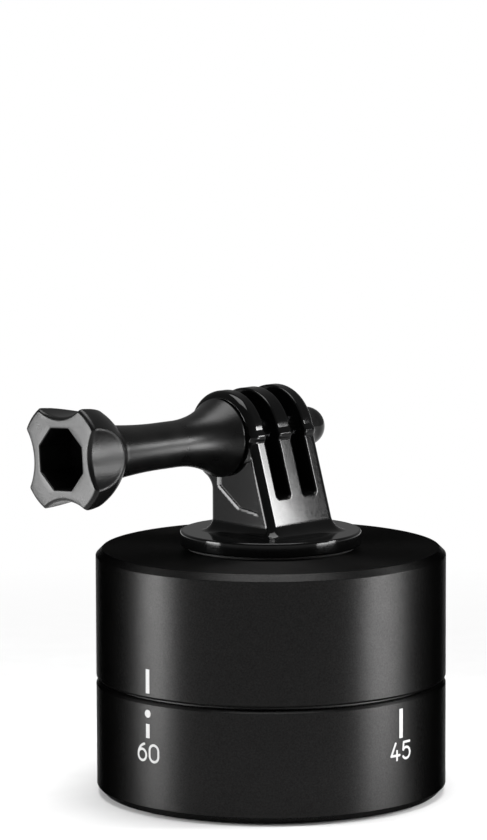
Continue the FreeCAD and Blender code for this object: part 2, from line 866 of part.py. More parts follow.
def make_escape_wheel():
    """Pointed teeth; both pallet pins stand a quarter pitch off a tooth."""
    teeth = int(size("escape_teeth"))
    tip = size("escape_radius")
    root = tip - size("escape_tooth_depth")
    pitch = 2 * math.pi / teeth
    first = math.radians(size("anchor_angle") + size("pallet_half_angle")) + pitch / 4
    tooth = ((root, -ESCAPE_ROOT_SHARE), (tip, -ESCAPE_TIP_SHARE),
             (tip, ESCAPE_TIP_SHARE), (root, ESCAPE_ROOT_SHARE))
    corners = []
    for k in range(teeth):
        for radius, shift in tooth:
            angle = first + (k + shift) * pitch
            corners.append(FreeCAD.Vector(radius * math.cos(angle),
                                          radius * math.sin(angle), 0))
    shape = Part.Face(Part.makePolygon(corners + corners[:1]))
    shape = shape.extrude(FreeCAD.Vector(0, 0, size("wheel_thickness")))
    bore = size("train_arbor_radius")
    shape = lightened(shape, root, bore)
    shape = drilled(shape, [FreeCAD.Vector(0, 0, 0)], bore + size("fit_clearance"))
    return at_arbor(feature("escape_wheel", shape), "escape", "Dims.escape_level")


def make_anchor():
    """The rocking anchor: two arms, each with a pallet pin that hangs down to
    the escape wheel."""
    thickness = size("wheel_thickness")
    half = size("pallet_half_angle")
    reach = size("pallet_circle") * math.tan(math.radians(half))
    width = size("anchor_arm_width")
    pin_length = size("pallet_pin_length")
    shape = Part.makeCylinder(size("anchor_hub_radius"), thickness)
    for side in (-1, 1):
        arm = Part.makeBox(reach + size("pallet_pin_radius"), width, thickness)
        arm.translate(FreeCAD.Vector(0, -width / 2, 0))
        pin = Part.makeCylinder(size("pallet_pin_radius"), pin_length,
                                FreeCAD.Vector(reach, 0, thickness - pin_length))
        arm = arm.fuse(pin)
        turn = (90 - half) * side + size("anchor_angle") + 180
        arm.rotate(FreeCAD.Vector(0, 0, 0), FreeCAD.Vector(0, 0, 1), turn)
        shape = shape.fuse(arm)
    bore = size("train_arbor_radius") + size("fit_clearance")
    shape = drilled(shape, [FreeCAD.Vector(0, 0, 0)], bore).removeSplitter()
    return at_arbor(feature("pallet_anchor", shape), "anchor",
                    "Dims.escape_level + Dims.wheel_thickness + Dims.wall_clearance")


def make_balance():
    """A rim on one spoke, which gives the anchor its inertia."""
    thickness = size("wheel_thickness")
    radius, rim = size("balance_radius"), size("balance_rim")
    middle = radius - rim / 2
    shape = Part.makeCylinder(radius, thickness)
    shape = shape.cut(Part.makeCylinder(radius - rim, thickness))
    spoke = Part.makeBox(2 * middle, rim, thickness,
                         FreeCAD.Vector(-middle, -rim / 2, 0))
    hub = Part.makeCylinder(size("anchor_hub_radius"), thickness)
    shape = shape.fuse([spoke, hub]).removeSplitter()
    bore = size("train_arbor_radius") + size("fit_clearance")
    shape = drilled(shape, [FreeCAD.Vector(0, 0, 0)], bore)
    return at_arbor(feature("balance_ring", shape), "anchor", "Dims.balance_level")


# ---------------------------------------------------------------- driving arbor
def make_main_arbor():
    """Stepped shaft from the lower plate up into the hub."""
    pivot = "arbor_pivot_radius"
    return lathe("main_arbor", [
        ("0", "arbor_bottom"),
        (pivot, "arbor_bottom"),
        (pivot, "plate_top+face_clearance"),
        ("arbor_radius", "plate_top+face_clearance"),
        ("arbor_radius", "shoulder_bottom"),
        ("arbor_shoulder_radius", "shoulder_bottom"),
        ("arbor_shoulder_radius", "main_bottom"),
        ("arbor_radius", "main_bottom"),
        ("arbor_radius", "arbor_top"),
        ("0", "arbor_top"),
    ])


def make_clutch_spring():
    """The slipping washer on the main wheel: a ring with three lobes cut out."""
    body = new_body("clutch_spring")
    sketch = new_sketch(body, "XY_Plane", "main_top")
    circle(sketch, "0", "0", "clutch_radius")
    circle(sketch, "0", "0", "arbor_radius+fit_clearance")
    extrude(body, sketch, "clutch_thickness")
    notch = new_sketch(body, "XY_Plane", "main_top")
    circle(notch, "0", "clutch_radius", "clutch_notch_radius")
    cut = extrude(body, notch, "clutch_thickness", cut=True, backwards=True)
    polar(body, [cut], "pillar_count")
    return body


def make_clutch_clip():
    return lathe("clutch_clip", [
        ("arbor_radius+fit_clearance", "clutch_top"),
        ("clip_radius", "clutch_top"),
        ("clip_radius", "clutch_top+clip_thickness"),
        ("arbor_radius+fit_clearance", "clutch_top+clip_thickness"),
    ])


def make_drive_hub():
    """Flange under the lid, sleeve on the arbor, seat for the camera screw."""
    bore = "arbor_radius+fit_clearance"
    body = lathe("drive_hub", [
        ("0", "hub_bore_top"),
        (bore, "hub_bore_top"),
        (bore, "sleeve_bottom"),
        ("hub_sleeve_radius", "sleeve_bottom"),
        ("hub_sleeve_radius", "hub_bottom"),
        ("hub_flange_radius", "hub_bottom"),
        ("hub_flange_radius", "lid_underside"),
        ("camera_head_radius+fit_clearance", "lid_underside"),
        ("camera_head_radius+fit_clearance", "head_bottom"),
        ("0", "head_bottom"),
    ])
    sketch = new_sketch(body, "XY_Plane", "hub_bottom")
    circle(sketch, "0", "hub_screw_circle", "screw_hole_radius")
    hole = extrude(body, sketch, "hub_flange_thickness", cut=True, backwards=True)
    polar(body, [hole], "pillar_count")
    pin_sketch = new_sketch(body, "YZ_Plane")
    circle(pin_sketch, "0", "hub_pin_level", "hub_pin_radius+fit_clearance")
    extrude(body, pin_sketch, "2*hub_sleeve_radius+2*fit_clearance",
            cut=True, both=True)
    return body


def make_hub_pin(arbor):
    """A cross pin through the sleeve, and its hole in the arbor."""
    hole = new_sketch(arbor, "YZ_Plane")
    circle(hole, "0", "hub_pin_level", "hub_pin_radius+fit_clearance")
    extrude(arbor, hole, "2*arbor_radius+2*fit_clearance", cut=True, both=True)
    pin = doc.addObject("Part::Cylinder", "hub_pin")
    pin.Label = "hub_pin"
    pin.setExpression("Radius", bound("hub_pin_radius"))
    pin.setExpression("Height", bound("2*hub_sleeve_radius"))
    pin.Placement.Rotation = FreeCAD.Rotation(FreeCAD.Vector(0, 1, 0), 90)
    return place(pin, "-Dims.hub_sleeve_radius", "0", "Dims.hub_pin_level")


def make_camera_screw():
    """Slotted 1/4 inch screw: head in the hub, thread through the lid."""
    body = lathe("camera_screw", [
        ("0", "head_bottom"),
        ("camera_head_radius", "head_bottom"),
        ("camera_head_radius", "lid_underside"),
        ("camera_screw_radius", "lid_underside"),
        ("camera_screw_radius",
         "case_height+camera_screw_length-camera_point_chamfer"),
        ("camera_screw_radius-camera_point_chamfer",
         "case_height+camera_screw_length"),
        ("0", "case_height+camera_screw_length"),
    ])
    slot = new_sketch(body, "XY_Plane", "head_bottom")
    half, reach = "0.5*camera_slot_width", "camera_head_radius+face_clearance"
    far = "-camera_head_radius-face_clearance"
    closed_profile(slot, [(far, "-" + half), (reach, "-" + half),
                          (reach, half), (far, half)])
    extrude(body, slot, "camera_slot_depth", cut=True, backwards=True)
    return body


# ---------------------------------------------------------------- adapter
def on_adapter(thing, height="Dims.washer_top"):
    """Turns a sub-part with the adapter and lifts it onto the washer."""
    return place(thing, z=height, turn=size("adapter_angle"))


def at_pivot(thing):
    """Moves a sub-part built about the thumbscrew's axis into place."""
    angle = "Dims.adapter_angle * 1 deg"
    return place(thing,
                 "-Dims.pivot_offset * sin(%s)" % angle,
                 "Dims.pivot_offset * cos(%s)" % angle,
                 "Dims.washer_top + Dims.pivot_height",
                 turn=size("adapter_angle"))


def make_adapter_washer():
    return lathe("adapter_washer", [
        ("camera_hole_radius", "case_height"),
        ("washer_radius", "case_height"),
        ("washer_radius", "washer_top"),
        ("camera_hole_radius", "washer_top"),
    ])


def make_adapter_insert():
    """Brass thread in the adapter's foot, around the camera screw."""
    bore = "camera_screw_radius+fit_clearance"
    return lathe("adapter_insert", [
        (bore, "washer_top"),
        ("insert_radius", "washer_top"),
        ("insert_radius", "washer_top+insert_length"),
        (bore, "washer_top+insert_length"),
    ])


def edges_where(body, test):
    """Names of the tip's edges that pass a test."""
    names = []
    for number, edge in enumerate(body.Shape.Edges, 1):
        if test(edge):
            names.append("Edge%d" % number)
    return names


def fillet(body, names, radius):
    before = body.Shape.Volume
    base = body.Tip
    rounding = body.newObject("PartDesign::Fillet", "Fillet")
    rounding.Base = (base, names)
    rounding.Radius = value(radius)
    rounding.setExpression("Radius", bound(radius))
    body.Tip = rounding
    doc.recompute()
    if abs(body.Shape.Volume - before) < NO_VOLUME:
        raise RuntimeError("%s: the fillet changed nothing" % body.Label)
    return rounding


def make_mount_adapter():
    """Disc foot, stem, three eyes with two slots; x runs along the thumbscrew,
    y points to the back of the prongs."""
    body = lathe("mount_adapter", [
        ("0", "0"),
        ("disc_radius-disc_chamfer", "0"),
        ("disc_radius", "disc_chamfer"),
        ("disc_radius", "disc_thickness-disc_chamfer"),
        ("disc_radius-disc_chamfer", "disc_thickness"),
        ("0", "disc_thickness"),
    ])
    stem = new_sketch(body, "YZ_Plane")
    closed_profile(stem, [
        ("-stem_front", "disc_thickness-disc_chamfer"),
        ("stem_back", "disc_thickness-disc_chamfer"),
        ("stem_back", "pivot_height"),
        ("pivot_offset-eye_radius", "pivot_height"),
    ])
    extrude(body, stem, "2*stack_half", both=True)
    eye = new_sketch(body, "YZ_Plane")
    circle(eye, "pivot_offset", "pivot_height", "eye_radius")
    extrude(body, eye, "2*stack_half", both=True)

    top = size("disc_thickness")
    outer = size("stack_half") + TOLERANCE

    def at_foot(edge):
        ends = [v.Point for v in edge.Vertexes]
        low = all(abs(p.z - top) < TOLERANCE for p in ends)
        inside = all(abs(p.x) < outer for p in ends)
        return low and inside and len(ends) == 2 and not is_disc_edge(edge)

    def is_disc_edge(edge):
        return isinstance(edge.Curve, Part.Circle)

    fillet(body, edges_where(body, at_foot), "stem_fillet")

    back = size("stem_back")

    def under_eye(edge):
        ends = [v.Point for v in edge.Vertexes]
        along = len(ends) == 2 and abs(ends[0].x - ends[1].x) > size("stack_half")
        behind = all(abs(p.y - back) < TOLERANCE for p in ends)
        return along and behind and \
            all(size("slot_floor") < p.z < size("pivot_height") for p in ends)

    fillet(body, edges_where(body, under_eye), "eye_fillet")

    boss = new_sketch(body, "YZ_Plane", "stack_half")
    circle(boss, "pivot_offset", "pivot_height", "nut_boss_radius")
    extrude(body, boss, "nut_boss_height")

    slot = new_sketch(body, "XZ_Plane")
    closed_profile(slot, [
        ("slot_inner", "slot_floor+slot_corner"),
        ("slot_inner+slot_corner", "slot_floor"),
        ("slot_outer-slot_corner", "slot_floor"),
        ("slot_outer", "slot_floor+slot_corner"),
        ("slot_outer", "eye_top+wall_clearance"),
        ("slot_inner", "eye_top+wall_clearance"),
    ], arcs={0: ("slot_corner", True), 2: ("slot_corner", True)})
    cut = extrude(body, slot, "4*disc_radius", cut=True, both=True)
    mirrored(body, [cut], "YZ_Plane")

    panel = new_sketch(body, "YZ_Plane", "-stack_half")
    closed_profile(panel, [
        ("stem_back-1.5*panel_margin", "slot_floor+panel_margin"),
        ("stem_back-1.5*panel_margin", "pivot_height-eye_radius+2*panel_margin"),
        ("-panel_front", "pivot_height-eye_radius+4*panel_margin"),
        ("-panel_front-panel_slant", "disc_thickness+stem_fillet+panel_margin"),
        ("panel_toe", "slot_floor-stem_fillet"),
    ])
    left = extrude(body, panel, "panel_depth", cut=True, backwards=True)
    mirrored(body, [left], "YZ_Plane")

    bore = new_sketch(body, "YZ_Plane")
    circle(bore, "pivot_offset", "pivot_height", "eye_bore_radius")
    extrude(body, bore, "4*disc_radius", cut=True, both=True)

    pocket = new_sketch(body, "YZ_Plane", "boss_face")
    hexagon(pocket, "pivot_offset", "pivot_height", "nut_flats")
    extrude(body, pocket, "nut_pocket_depth", cut=True)

    socket = new_sketch(body, "XY_Plane")
    circle(socket, "0", "0", "insert_radius+fit_clearance")
    extrude(body, socket, "insert_length+insert_roof", cut=True, backwards=True)
    return on_adapter(body)


def make_clamp_nut():
    """Cap nut: its hexagon sits in the adapter's pocket."""
    body = new_body("clamp_nut")
    prism = new_sketch(body, "YZ_Plane", "nut_start")
    hexagon(prism, "0", "0", "nut_across")
    extrude(body, prism, "nut_height")
    dome = new_sketch(body, "XY_Plane")
    closed_profile(dome, [
        ("nut_end-dome_root", "0"),
        ("dome_end", "0"),
        ("dome_end-dome_radius", "dome_radius"),
        ("nut_end-dome_root", "dome_radius"),
    ], arcs={1: ("dome_radius", True)})
    revolve(body, dome, "H_Axis")
    bore = new_sketch(body, "YZ_Plane", "nut_start")
    circle(bore, "0", "0", "rod_radius+fit_clearance")
    extrude(body, bore, "nut_bore_end-nut_start", cut=True, backwards=True)
    return at_pivot(body)


# ---------------------------------------------------------------- thumbscrew
def make_thumb_knob():
    """Turned handle with a bell at the prongs and a lobed head."""
    body = new_body("thumb_knob")
    outline = new_sketch(body, "XY_Plane")
    closed_profile(outline, [
        ("-knob_face", "0"),
        ("-rod_start-wall_clearance", "0"),
        ("-rod_start-wall_clearance", "rod_radius+fit_clearance"),
        ("-bell_face", "rod_radius+fit_clearance"),
        ("-bell_face", "bell_radius"),
        ("-bell_face-bell_rim", "bell_radius"),
        ("-neck_start", "neck_radius"),
        ("-neck_end", "neck_radius"),
        ("-shoulder_end", "collar_radius"),
        ("knob_rim-knob_face", "knob_radius"),
        ("knob_chamfer-knob_face", "knob_radius"),
        ("-knob_face", "knob_radius-knob_chamfer"),
    ], arcs={5: ("bell_curve", False), 7: ("taper_curve", False),
             8: ("shoulder_curve", True)})
    revolve(body, outline, "H_Axis")

    scallop = new_sketch(body, "YZ_Plane", "-knob_face")
    circle(scallop, "scallop_y", "scallop_z", "scallop_radius")
    cut = extrude(body, scallop, "scallop_length", cut=True, backwards=True)
    polar(body, [cut], "lobe_count", "X_Axis")

    recess = new_sketch(body, "YZ_Plane", "-knob_face")
    closed_profile(recess, [
        ("recess_corner_1_y", "recess_corner_1_z"), ("recess_corner_2_y", "recess_corner_2_z"),
        ("-recess_corner_1_z", "recess_corner_1_y"), ("-recess_corner_2_z", "recess_corner_2_y"),
        ("-recess_corner_1_y", "-recess_corner_1_z"), ("-recess_corner_2_y", "-recess_corner_2_z"),
        ("recess_corner_1_z", "-recess_corner_1_y"), ("recess_corner_2_z", "-recess_corner_2_y"),
    ])
    extrude(body, recess, "knob_recess_depth", cut=True, backwards=True)
    return at_pivot(body)


def make_clamp_rod():
    """M5 rod, moulded into the handle, through the eyes into the cap nut."""
    body = new_body("clamp_rod")
    outline = new_sketch(body, "XY_Plane")
    closed_profile(outline, [
        ("-rod_start", "0"),
        ("rod_end", "0"),
        ("rod_end", "rod_radius"),
        ("-rod_start", "rod_radius"),
    ])
    revolve(body, outline, "H_Axis")
    return at_pivot(body)


# ---------------------------------------------------------------- assembly
def build():
    make_base_shell()
    make_top_shell()
    make_foot_pad()
    make_tripod_bush()
    make_glide_ring()
    make_plate("lower_plate", "plate_bottom", "arbor_pivot_radius+fit_clearance")
    make_plate("upper_plate", "bridge_bottom", "arbor_radius+fit_clearance")
    make_pillars()
    make_screws()
    make_mainspring()
    make_spring_post()
    make_train()
    arbor = make_main_arbor()
    make_hub_pin(arbor)
    make_clutch_spring()
    make_clutch_clip()
    make_drive_hub()
    make_camera_screw()
    make_adapter_washer()
    make_adapter_insert()
    make_mount_adapter()
    make_clamp_nut()
    make_thumb_knob()
    make_clamp_rod()


def sub_parts():
    """The pieces: bodies, and Part objects that belong to no body."""
    inside = {f.Name for b in doc.Objects if b.TypeId == "PartDesign::Body"
              for f in b.Group}
    return [o for o in doc.Objects
            if o.isDerivedFrom("Part::Feature") and o.Name not in inside
            and not o.isDerivedFrom("App::Plane")]


def export():
    doc.recompute()
    for thing in doc.Objects:
        if "Invalid" in thing.State or "Error" in thing.State:
            raise RuntimeError("%s: %s" % (thing.Label, thing.State))
    parts = sub_parts()
    for thing in parts:
        if thing.Shape.isNull() or not thing.Shape.isValid():
            raise RuntimeError("%s has no valid shape" % thing.Label)
        if len(thing.Shape.Solids) != 1:
            raise RuntimeError("%s has %d solids" %
                               (thing.Label, len(thing.Shape.Solids)))
    os.makedirs("parts", exist_ok=True)
    for thing in parts:
        thing.Shape.exportStep("parts/%s.step" % thing.Label)
    print("%d parts written" % len(parts))


build()
export()
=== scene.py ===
"""Looks of the clockwork panning head.

Lengths in this script are millimetres; meshes are made in metres.  The drum's
axis is Z and the front is -Y.  Three frames are used: the whole part's, the
adapter's (x along the thumbscrew, y to the back of the prongs, z up from its
foot) and the screw's (the same, moved to the thumbscrew's axis).
"""
import json
import math

import bmesh
import bpy
import numpy as np
import openvdb
from mathutils import Matrix, Vector


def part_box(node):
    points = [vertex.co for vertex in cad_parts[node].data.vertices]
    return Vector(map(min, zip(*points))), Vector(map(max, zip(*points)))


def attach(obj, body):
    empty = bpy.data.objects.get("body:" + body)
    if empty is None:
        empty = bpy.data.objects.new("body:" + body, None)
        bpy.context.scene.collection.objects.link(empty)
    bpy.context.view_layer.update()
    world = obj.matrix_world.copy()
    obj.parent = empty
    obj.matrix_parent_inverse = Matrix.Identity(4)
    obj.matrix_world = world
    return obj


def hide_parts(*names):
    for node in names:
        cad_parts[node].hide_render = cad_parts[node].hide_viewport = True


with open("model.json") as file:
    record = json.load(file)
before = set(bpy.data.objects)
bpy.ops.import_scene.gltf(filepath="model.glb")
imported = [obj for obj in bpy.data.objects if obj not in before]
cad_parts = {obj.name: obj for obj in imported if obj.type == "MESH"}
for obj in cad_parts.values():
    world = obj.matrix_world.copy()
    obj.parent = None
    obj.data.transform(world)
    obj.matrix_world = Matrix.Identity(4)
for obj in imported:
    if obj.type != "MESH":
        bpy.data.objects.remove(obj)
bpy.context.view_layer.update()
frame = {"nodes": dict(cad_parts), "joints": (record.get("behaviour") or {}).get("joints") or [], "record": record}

MM = 0.001
TURN = 2 * math.pi
HALF_PI = math.pi / 2


# ---------------------------------------------------------------- sizes
def span(node):
    """A CAD node's lowest and highest corner, in millimetres."""
    low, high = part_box(node)
    return np.array(low) / MM, np.array(high) / MM


# rounding of small edges, and clearance of a piece in its seat
EDGE_ROUND = 0.12
FIT = 0.05

# drum
CASE_RADIUS = span("base_shell")[1][0]
BASE_BOTTOM = span("base_shell")[0][2]
BASE_TOP = span("base_shell")[1][2]
LID_RIM = span("top_shell")[0][2]
CASE_TOP = span("top_shell")[1][2]
CASE_WALL = 1.8
GUIDE_LEDGE = 0.8
GUIDE_DEPTH = 2.0
FLOOR_THICKNESS = 2.9
LID_THICKNESS = 3.0
FOOT_CHAMFER = 1.25
SEAM_CHAMFER = 0.45
CROWN_CHAMFER = 1.1

# rubber ring: lands that touch the floor, grooves between them, both as shares
# of the ribs' pitch
PAD_INNER = 10.0
PAD_OUTER = span("foot_pad")[1][0]
PAD_TOP = span("foot_pad")[1][2]
PAD_RIBS = 6
PAD_RIB_DEPTH = 0.18
PAD_LAND = 0.5
PAD_GROOVE = (0.55, 0.95)

# tripod bush
BUSH_RADIUS = 5.0
BUSH_BORE = 2.55
BUSH_FLANGE = span("tripod_bush")[1][0]
BUSH_FLANGE_THICKNESS = 1.2
BUSH_TOP = span("tripod_bush")[1][2]
BUSH_PITCH = 25.4 / 20
BUSH_THREAD_DEPTH = 0.6
BUSH_CREST = BUSH_BORE + BUSH_THREAD_DEPTH

# case screws; a socket's chamfer is a width and a depth, a point tapers by a
# width over a length
SCREWS = ["case_screw_%d" % number for number in (1, 2, 3)]
SCREW_RADIUS = 1.2
SCREW_HEAD_RADIUS = 2.2
SCREW_HEAD_HEIGHT = 1.5
SCREW_HEAD_EDGE = 0.3
SCREW_SEAT_EDGE = 0.05
SCREW_SOCKET_FLATS = 2.0
SCREW_SOCKET_DEPTH = 0.9
SCREW_SOCKET_CHAMFER = (0.1, 0.12)
SCREW_PITCH = 0.45
SCREW_THREAD_DEPTH = 0.2
SCREW_NECK = 0.3
SCREW_POINT = (0.25, 0.2)
WELL_RADIUS = 2.35
WELL_SPARE = 0.1
WELL_DEPTH = SCREW_HEAD_HEIGHT + WELL_SPARE
WELL_TOOL_REACH = 1.0

# camera screw's hole and washer
CAMERA_HOLE = 3.3
WASHER_RADIUS = span("adapter_washer")[1][0]
WASHER_TOP = span("adapter_washer")[1][2]

# the thumbscrew's axis and the two frames that follow it
screw_joint = {joint["name"]: joint for joint in frame["joints"]}["thumbscrew_turn"]
PIVOT = Vector(screw_joint["pos_m"]) / MM
SCREW_AXIS = Vector(screw_joint["axis"]).normalized()
BACKWARD = Vector((0, 0, 1)).cross(SCREW_AXIS)
PIVOT_OFFSET = PIVOT.dot(BACKWARD)
PIVOT_HEIGHT = PIVOT.z - WASHER_TOP
SCREW_FRAME = Matrix((SCREW_AXIS, BACKWARD, (0, 0, 1))).transposed().to_4x4()
ADAPTER_FRAME = SCREW_FRAME.copy()
SCREW_FRAME.translation = PIVOT
ADAPTER_FRAME.translation = Vector((0, 0, WASHER_TOP))

# adapter; every EDGE is the rounding of an outer edge, every FILLET that of an
# inner one
DISC_RADIUS = 15.5
DISC_THICKNESS = 2.5
DISC_EDGE = 0.35
PRONG = 3.0
PRONG_GAP = 3.2
STACK_HALF = 1.5 * PRONG + PRONG_GAP
SLOT_FLOOR = 8.9
SLOT_CORNER = 0.7
SLOT_EDGE = 0.3
EYE_RADIUS = span("mount_adapter")[1][2] - WASHER_TOP - PIVOT_HEIGHT
EYE_BORE = 2.6
EYE_BORE_EDGE = 0.15
EYE_FILLET_BACK = 1.2
EYE_FILLET_FRONT = 0.15
STEM_FRONT = 8.4
STEM_BACK = 7.1
STEM_FILLET = 2.2
SIDE_ROUND = 1.3
NUT_BOSS_RADIUS = 5.5
NUT_BOSS_HEIGHT = 1.0
NUT_BOSS_EDGE = 0.25
NUT_BOSS_FILLET = 0.2
NUT_POCKET_FLATS = 8.0
NUT_POCKET_DEPTH = 2.5
NUT_POCKET_EDGE = 0.12
SOCKET_RADIUS = 4.65
SOCKET_DEPTH = 6.0
SOCKET_EDGE = 0.1
ADAPTER_CELL = 0.2

# bead in front of each eye: its y, z and radius
BEAD = (-2.8, 19.3, 0.95)
BEAD_FILLET = 0.35

# sunk side panel: its corners (y, z), and its bevel's width and slope
PANEL = ((5.1, 10.2), (5.1, 13.3), (-3.2, 15.9), (-5.1, 6.0), (0.2, 6.7))
PANEL_CORNER = 0.25
PANEL_DEPTH = 0.35
PANEL_BEVEL = (0.45, 0.18)
PANEL_WALL_SLOPE = 3.0

# cap nut; here and below, faces, starts and ends are places along the
# thumbscrew's axis
NUT_FLATS = 7.9
NUT_START = 6.25
NUT_END = 10.25
NUT_EDGE = 0.15
NUT_CORNER_CHAMFER = 0.5
NUT_CORNER_SLOPE = 1.5
DOME_RADIUS = 3.4
DOME_FILLET = 0.2
DOME_END = 16.5
NUT_BORE_END = 15.1

# rod; its end tapers by a width over a length
ROD_RADIUS = 2.475
ROD_START = -29.8
ROD_END = 14.8
ROD_CHAMFER = 0.3
ROD_POINT = (0.6, 0.5)
ROD_THREAD_START = -6.5
ROD_PITCH = 0.8
ROD_THREAD_DEPTH = 0.42

# thumbscrew's handle, from the bell at the prongs to the lobed knob; the bell
# leaves its rim along the slope BELL_LEAD
BELL_FACE = -7.8
BELL_RADIUS = 6.7
BELL_FLAT = 2.0
BELL_RIM = 0.5
BELL_EDGE = 0.3
BELL_LEAD = (1.5, 2.6)
BELL_CURVE = 20.0
NECK_RADIUS = 3.95
NECK_START = -18.5
NECK_END = -22.0
TAPER_CURVE = 90.0
COLLAR_RADIUS = 4.75
SHOULDER_END = -34.0
SHOULDER_CURVE = 13.0
COLLAR_FILLET = 1.0
KNOB_RADIUS = 9.8
KNOB_RIM = 0.8
KNOB_FACE = -44.3
KNOB_EDGE = 0.75
KNOB_BORE_SPARE = 0.3
KNOB_TURN = math.radians(4.3)
SCALLOP_RADIUS = 9.8
SCALLOP_FLOOR = 7.0
RECESS_RADIUS = 5.5
RECESS_DEPTH = 7.0
RECESS_EDGE = 0.25
RECESS_STRAIGHT = 1.0
RECESS_DRAFT = 0.02
LOBE_EDGE = 0.5

# rings across the knob's face, as shares of the way from its edge to its recess
FACE_RINGS = (0.35, 0.7)

# marks: angles from the front (-Y) towards +X, levels above the floor
MARKS = (("60", -43.5), ("45", 46.5), ("30", 136.5), ("15", -133.5))
NUMBER_HEIGHT = 3.3
NUMBER_LEVEL = 10.9
MARK_WIDTH = 0.86
TICK_SHORT = (13.4, 15.8)
TICK_LONG = (13.1, 18.1)
DOT_LEVEL = 17.55
DOT_RADIUS = 0.68
INDEX_LEVELS = (21.0, 25.1)

# ink: how far it stands out of and reaches into the drum
INK_HEIGHT = 0.02
INK_ROOT = 0.03
INK_EDGE = 0.01
INK_CELL = (0.06, 0.06, 0.012)
INK_MARGIN = 0.1
INK_MARGIN_DEEP = 0.02


# ---------------------------------------------------------------- mesh helpers
def add_mesh(name, points, faces, place=None, normals=None, sharp=40):
    """A smooth-shaded mesh object from points in millimetres."""
    points = np.asarray(points, float)
    if place is not None:
        turn = np.array(place.to_3x3())
        points = points @ turn.T + np.array(place.translation)
        if normals is not None:
            normals = normals @ turn.T
    mesh = bpy.data.meshes.new(name)
    mesh.from_pydata((points * MM).tolist(), [], faces)
    mesh.shade_smooth()
    if normals is not None:
        mesh.normals_split_custom_set_from_vertices(normals.tolist())
    else:
        outward(mesh)
        mesh.set_sharp_from_angle(angle=math.radians(sharp))
    thing = bpy.data.objects.new(name, mesh)
    bpy.context.scene.collection.objects.link(thing)
    return thing


def outward(mesh):
    """Turns every face of a closed mesh outward."""
    work = bmesh.new()
    work.from_mesh(mesh)
    bmesh.ops.recalc_face_normals(work, faces=work.faces)
    work.to_mesh(mesh)
    work.free()


def even_shading(thing):
    """Lets large faces keep their flat look next to rounded edges."""
    modifier = thing.modifiers.new("shading", "WEIGHTED_NORMAL")
    modifier.keep_sharp = True
    modifier.weight = 80


def skin(rings, poles=None):
    """Points and faces of a surface over rings of equal count: closed to a
    loop, or by a pole before the first ring and one after the last."""
    rings = np.asarray(rings, float)
    count, around = rings.shape[:2]
    points = rings.reshape(-1, 3)
    faces = []
    last = count if poles is None else count - 1
    for i in range(last):
        here, there = i * around, (i + 1) % count * around
        for k in range(around):
            following = (k + 1) % around
            faces.append((here + k, here + following, there + following, there + k))
    if poles is not None:
        points = np.vstack([points, poles])
        first, final = count * around, count * around + 1
        end = (count - 1) * around
        for k in range(around):
            following = (k + 1) % around
            faces.append((k, first, following))
            faces.append((end + following, final, end + k))
    return points, faces


def rounded(corners, steps=4):
    """An outline whose (x, y, radius) corners have become arcs."""
    outline = []
    for i, (x, y, radius) in enumerate(corners):
        corner = np.array((x, y))
        if not radius:
            outline.append(corner)
            continue
        before = np.array(corners[i - 1][:2]) - corner
        after = np.array(corners[(i + 1) % len(corners)][:2]) - corner
        before /= np.linalg.norm(before)
        after /= np.linalg.norm(after)
        half = math.acos(max(-1, min(1, before @ after))) / 2
        middle = before + after
        centre = corner + middle / np.linalg.norm(middle) * radius / math.sin(half)
        first = corner + before * radius / math.tan(half) - centre
        final = corner + after * radius / math.tan(half) - centre
        sweep = math.pi - 2 * half
        for k in range(steps + 1):
            share = k / steps
            outline.append(centre + (math.sin((1 - share) * sweep) * first
                                     + math.sin(share * sweep) * final) / math.sin(sweep))
    return outline


def arc_centre(start, end, radius):
    """Centre of an arc from start to end that bulges to the right of the way."""
    start, end = np.array(start, float), np.array(end, float)
    chord = end - start
    length = np.linalg.norm(chord)
    normal = np.array((-chord[1], chord[0])) / length
    return (start + end) / 2 + normal * math.sqrt(radius ** 2 - length ** 2 / 4)


def angles(count):
    """Angles of the points of a ring."""
    return np.arange(count) * TURN / count


def ring_about_z(radius, level, count):
    """A ring of points; radius and level are numbers or arrays over the ring."""
    turn = angles(count)
    ones = np.ones(count)
    return np.stack([radius * np.cos(turn), radius * np.sin(turn), level * ones], 1)


def ring_about_x(radius, along, count):
    """The same about X, the thumbscrew's axis."""
    turn = angles(count)
    ones = np.ones(count)
    return np.stack([along * ones, radius * np.cos(turn), radius * np.sin(turn)], 1)


def turned(name, outline, count=240):
    """A closed outline of (radius, height) points turned about the drum's axis."""
    rings = [ring_about_z(radius, level, count) for radius, level in outline]
    thing = add_mesh(name, *skin(rings))
    even_shading(thing)
    return thing


def polygon_radius(count, sides, flats, corner_angle=0.0):
    """Distance from the centre to a regular polygon at each angle of a ring."""
    step = TURN / sides
    turn = (angles(count) - corner_angle) % step - step / 2
    return flats / 2 / np.cos(turn)


# steepness of a thread's flanks against a plain zigzag, and how much of the
# zigzag its flat crests take off
THREAD_FLANK = 1.3
THREAD_CREST = 0.12


def thread(outer, depth, pitch, along, count):
    """Radius of a thread at one place along its axis, over a ring."""
    phase = (along / pitch - np.arange(count) / count) % 1
    fall = np.clip(np.abs(phase * 2 - 1) * THREAD_FLANK - THREAD_CREST, 0, 1)
    return outer - depth * fall


# ---------------------------------------------------------------- solids as fields
def meet(first, second, radius):
    """Intersection of two distance fields with a rounded edge."""
    u, v = np.maximum(radius + first, 0), np.maximum(radius + second, 0)
    return np.minimum(-radius, np.maximum(first, second)) + np.hypot(u, v)


def join(first, second, radius):
    """Union of two distance fields with a fillet."""
    u, v = np.maximum(radius - first, 0), np.maximum(radius - second, 0)
    return np.maximum(radius, np.minimum(first, second)) - np.hypot(u, v)


def carve(body, tool, radius):
    """The body without the tool, with a rounded edge."""
    return meet(body, -tool, radius)


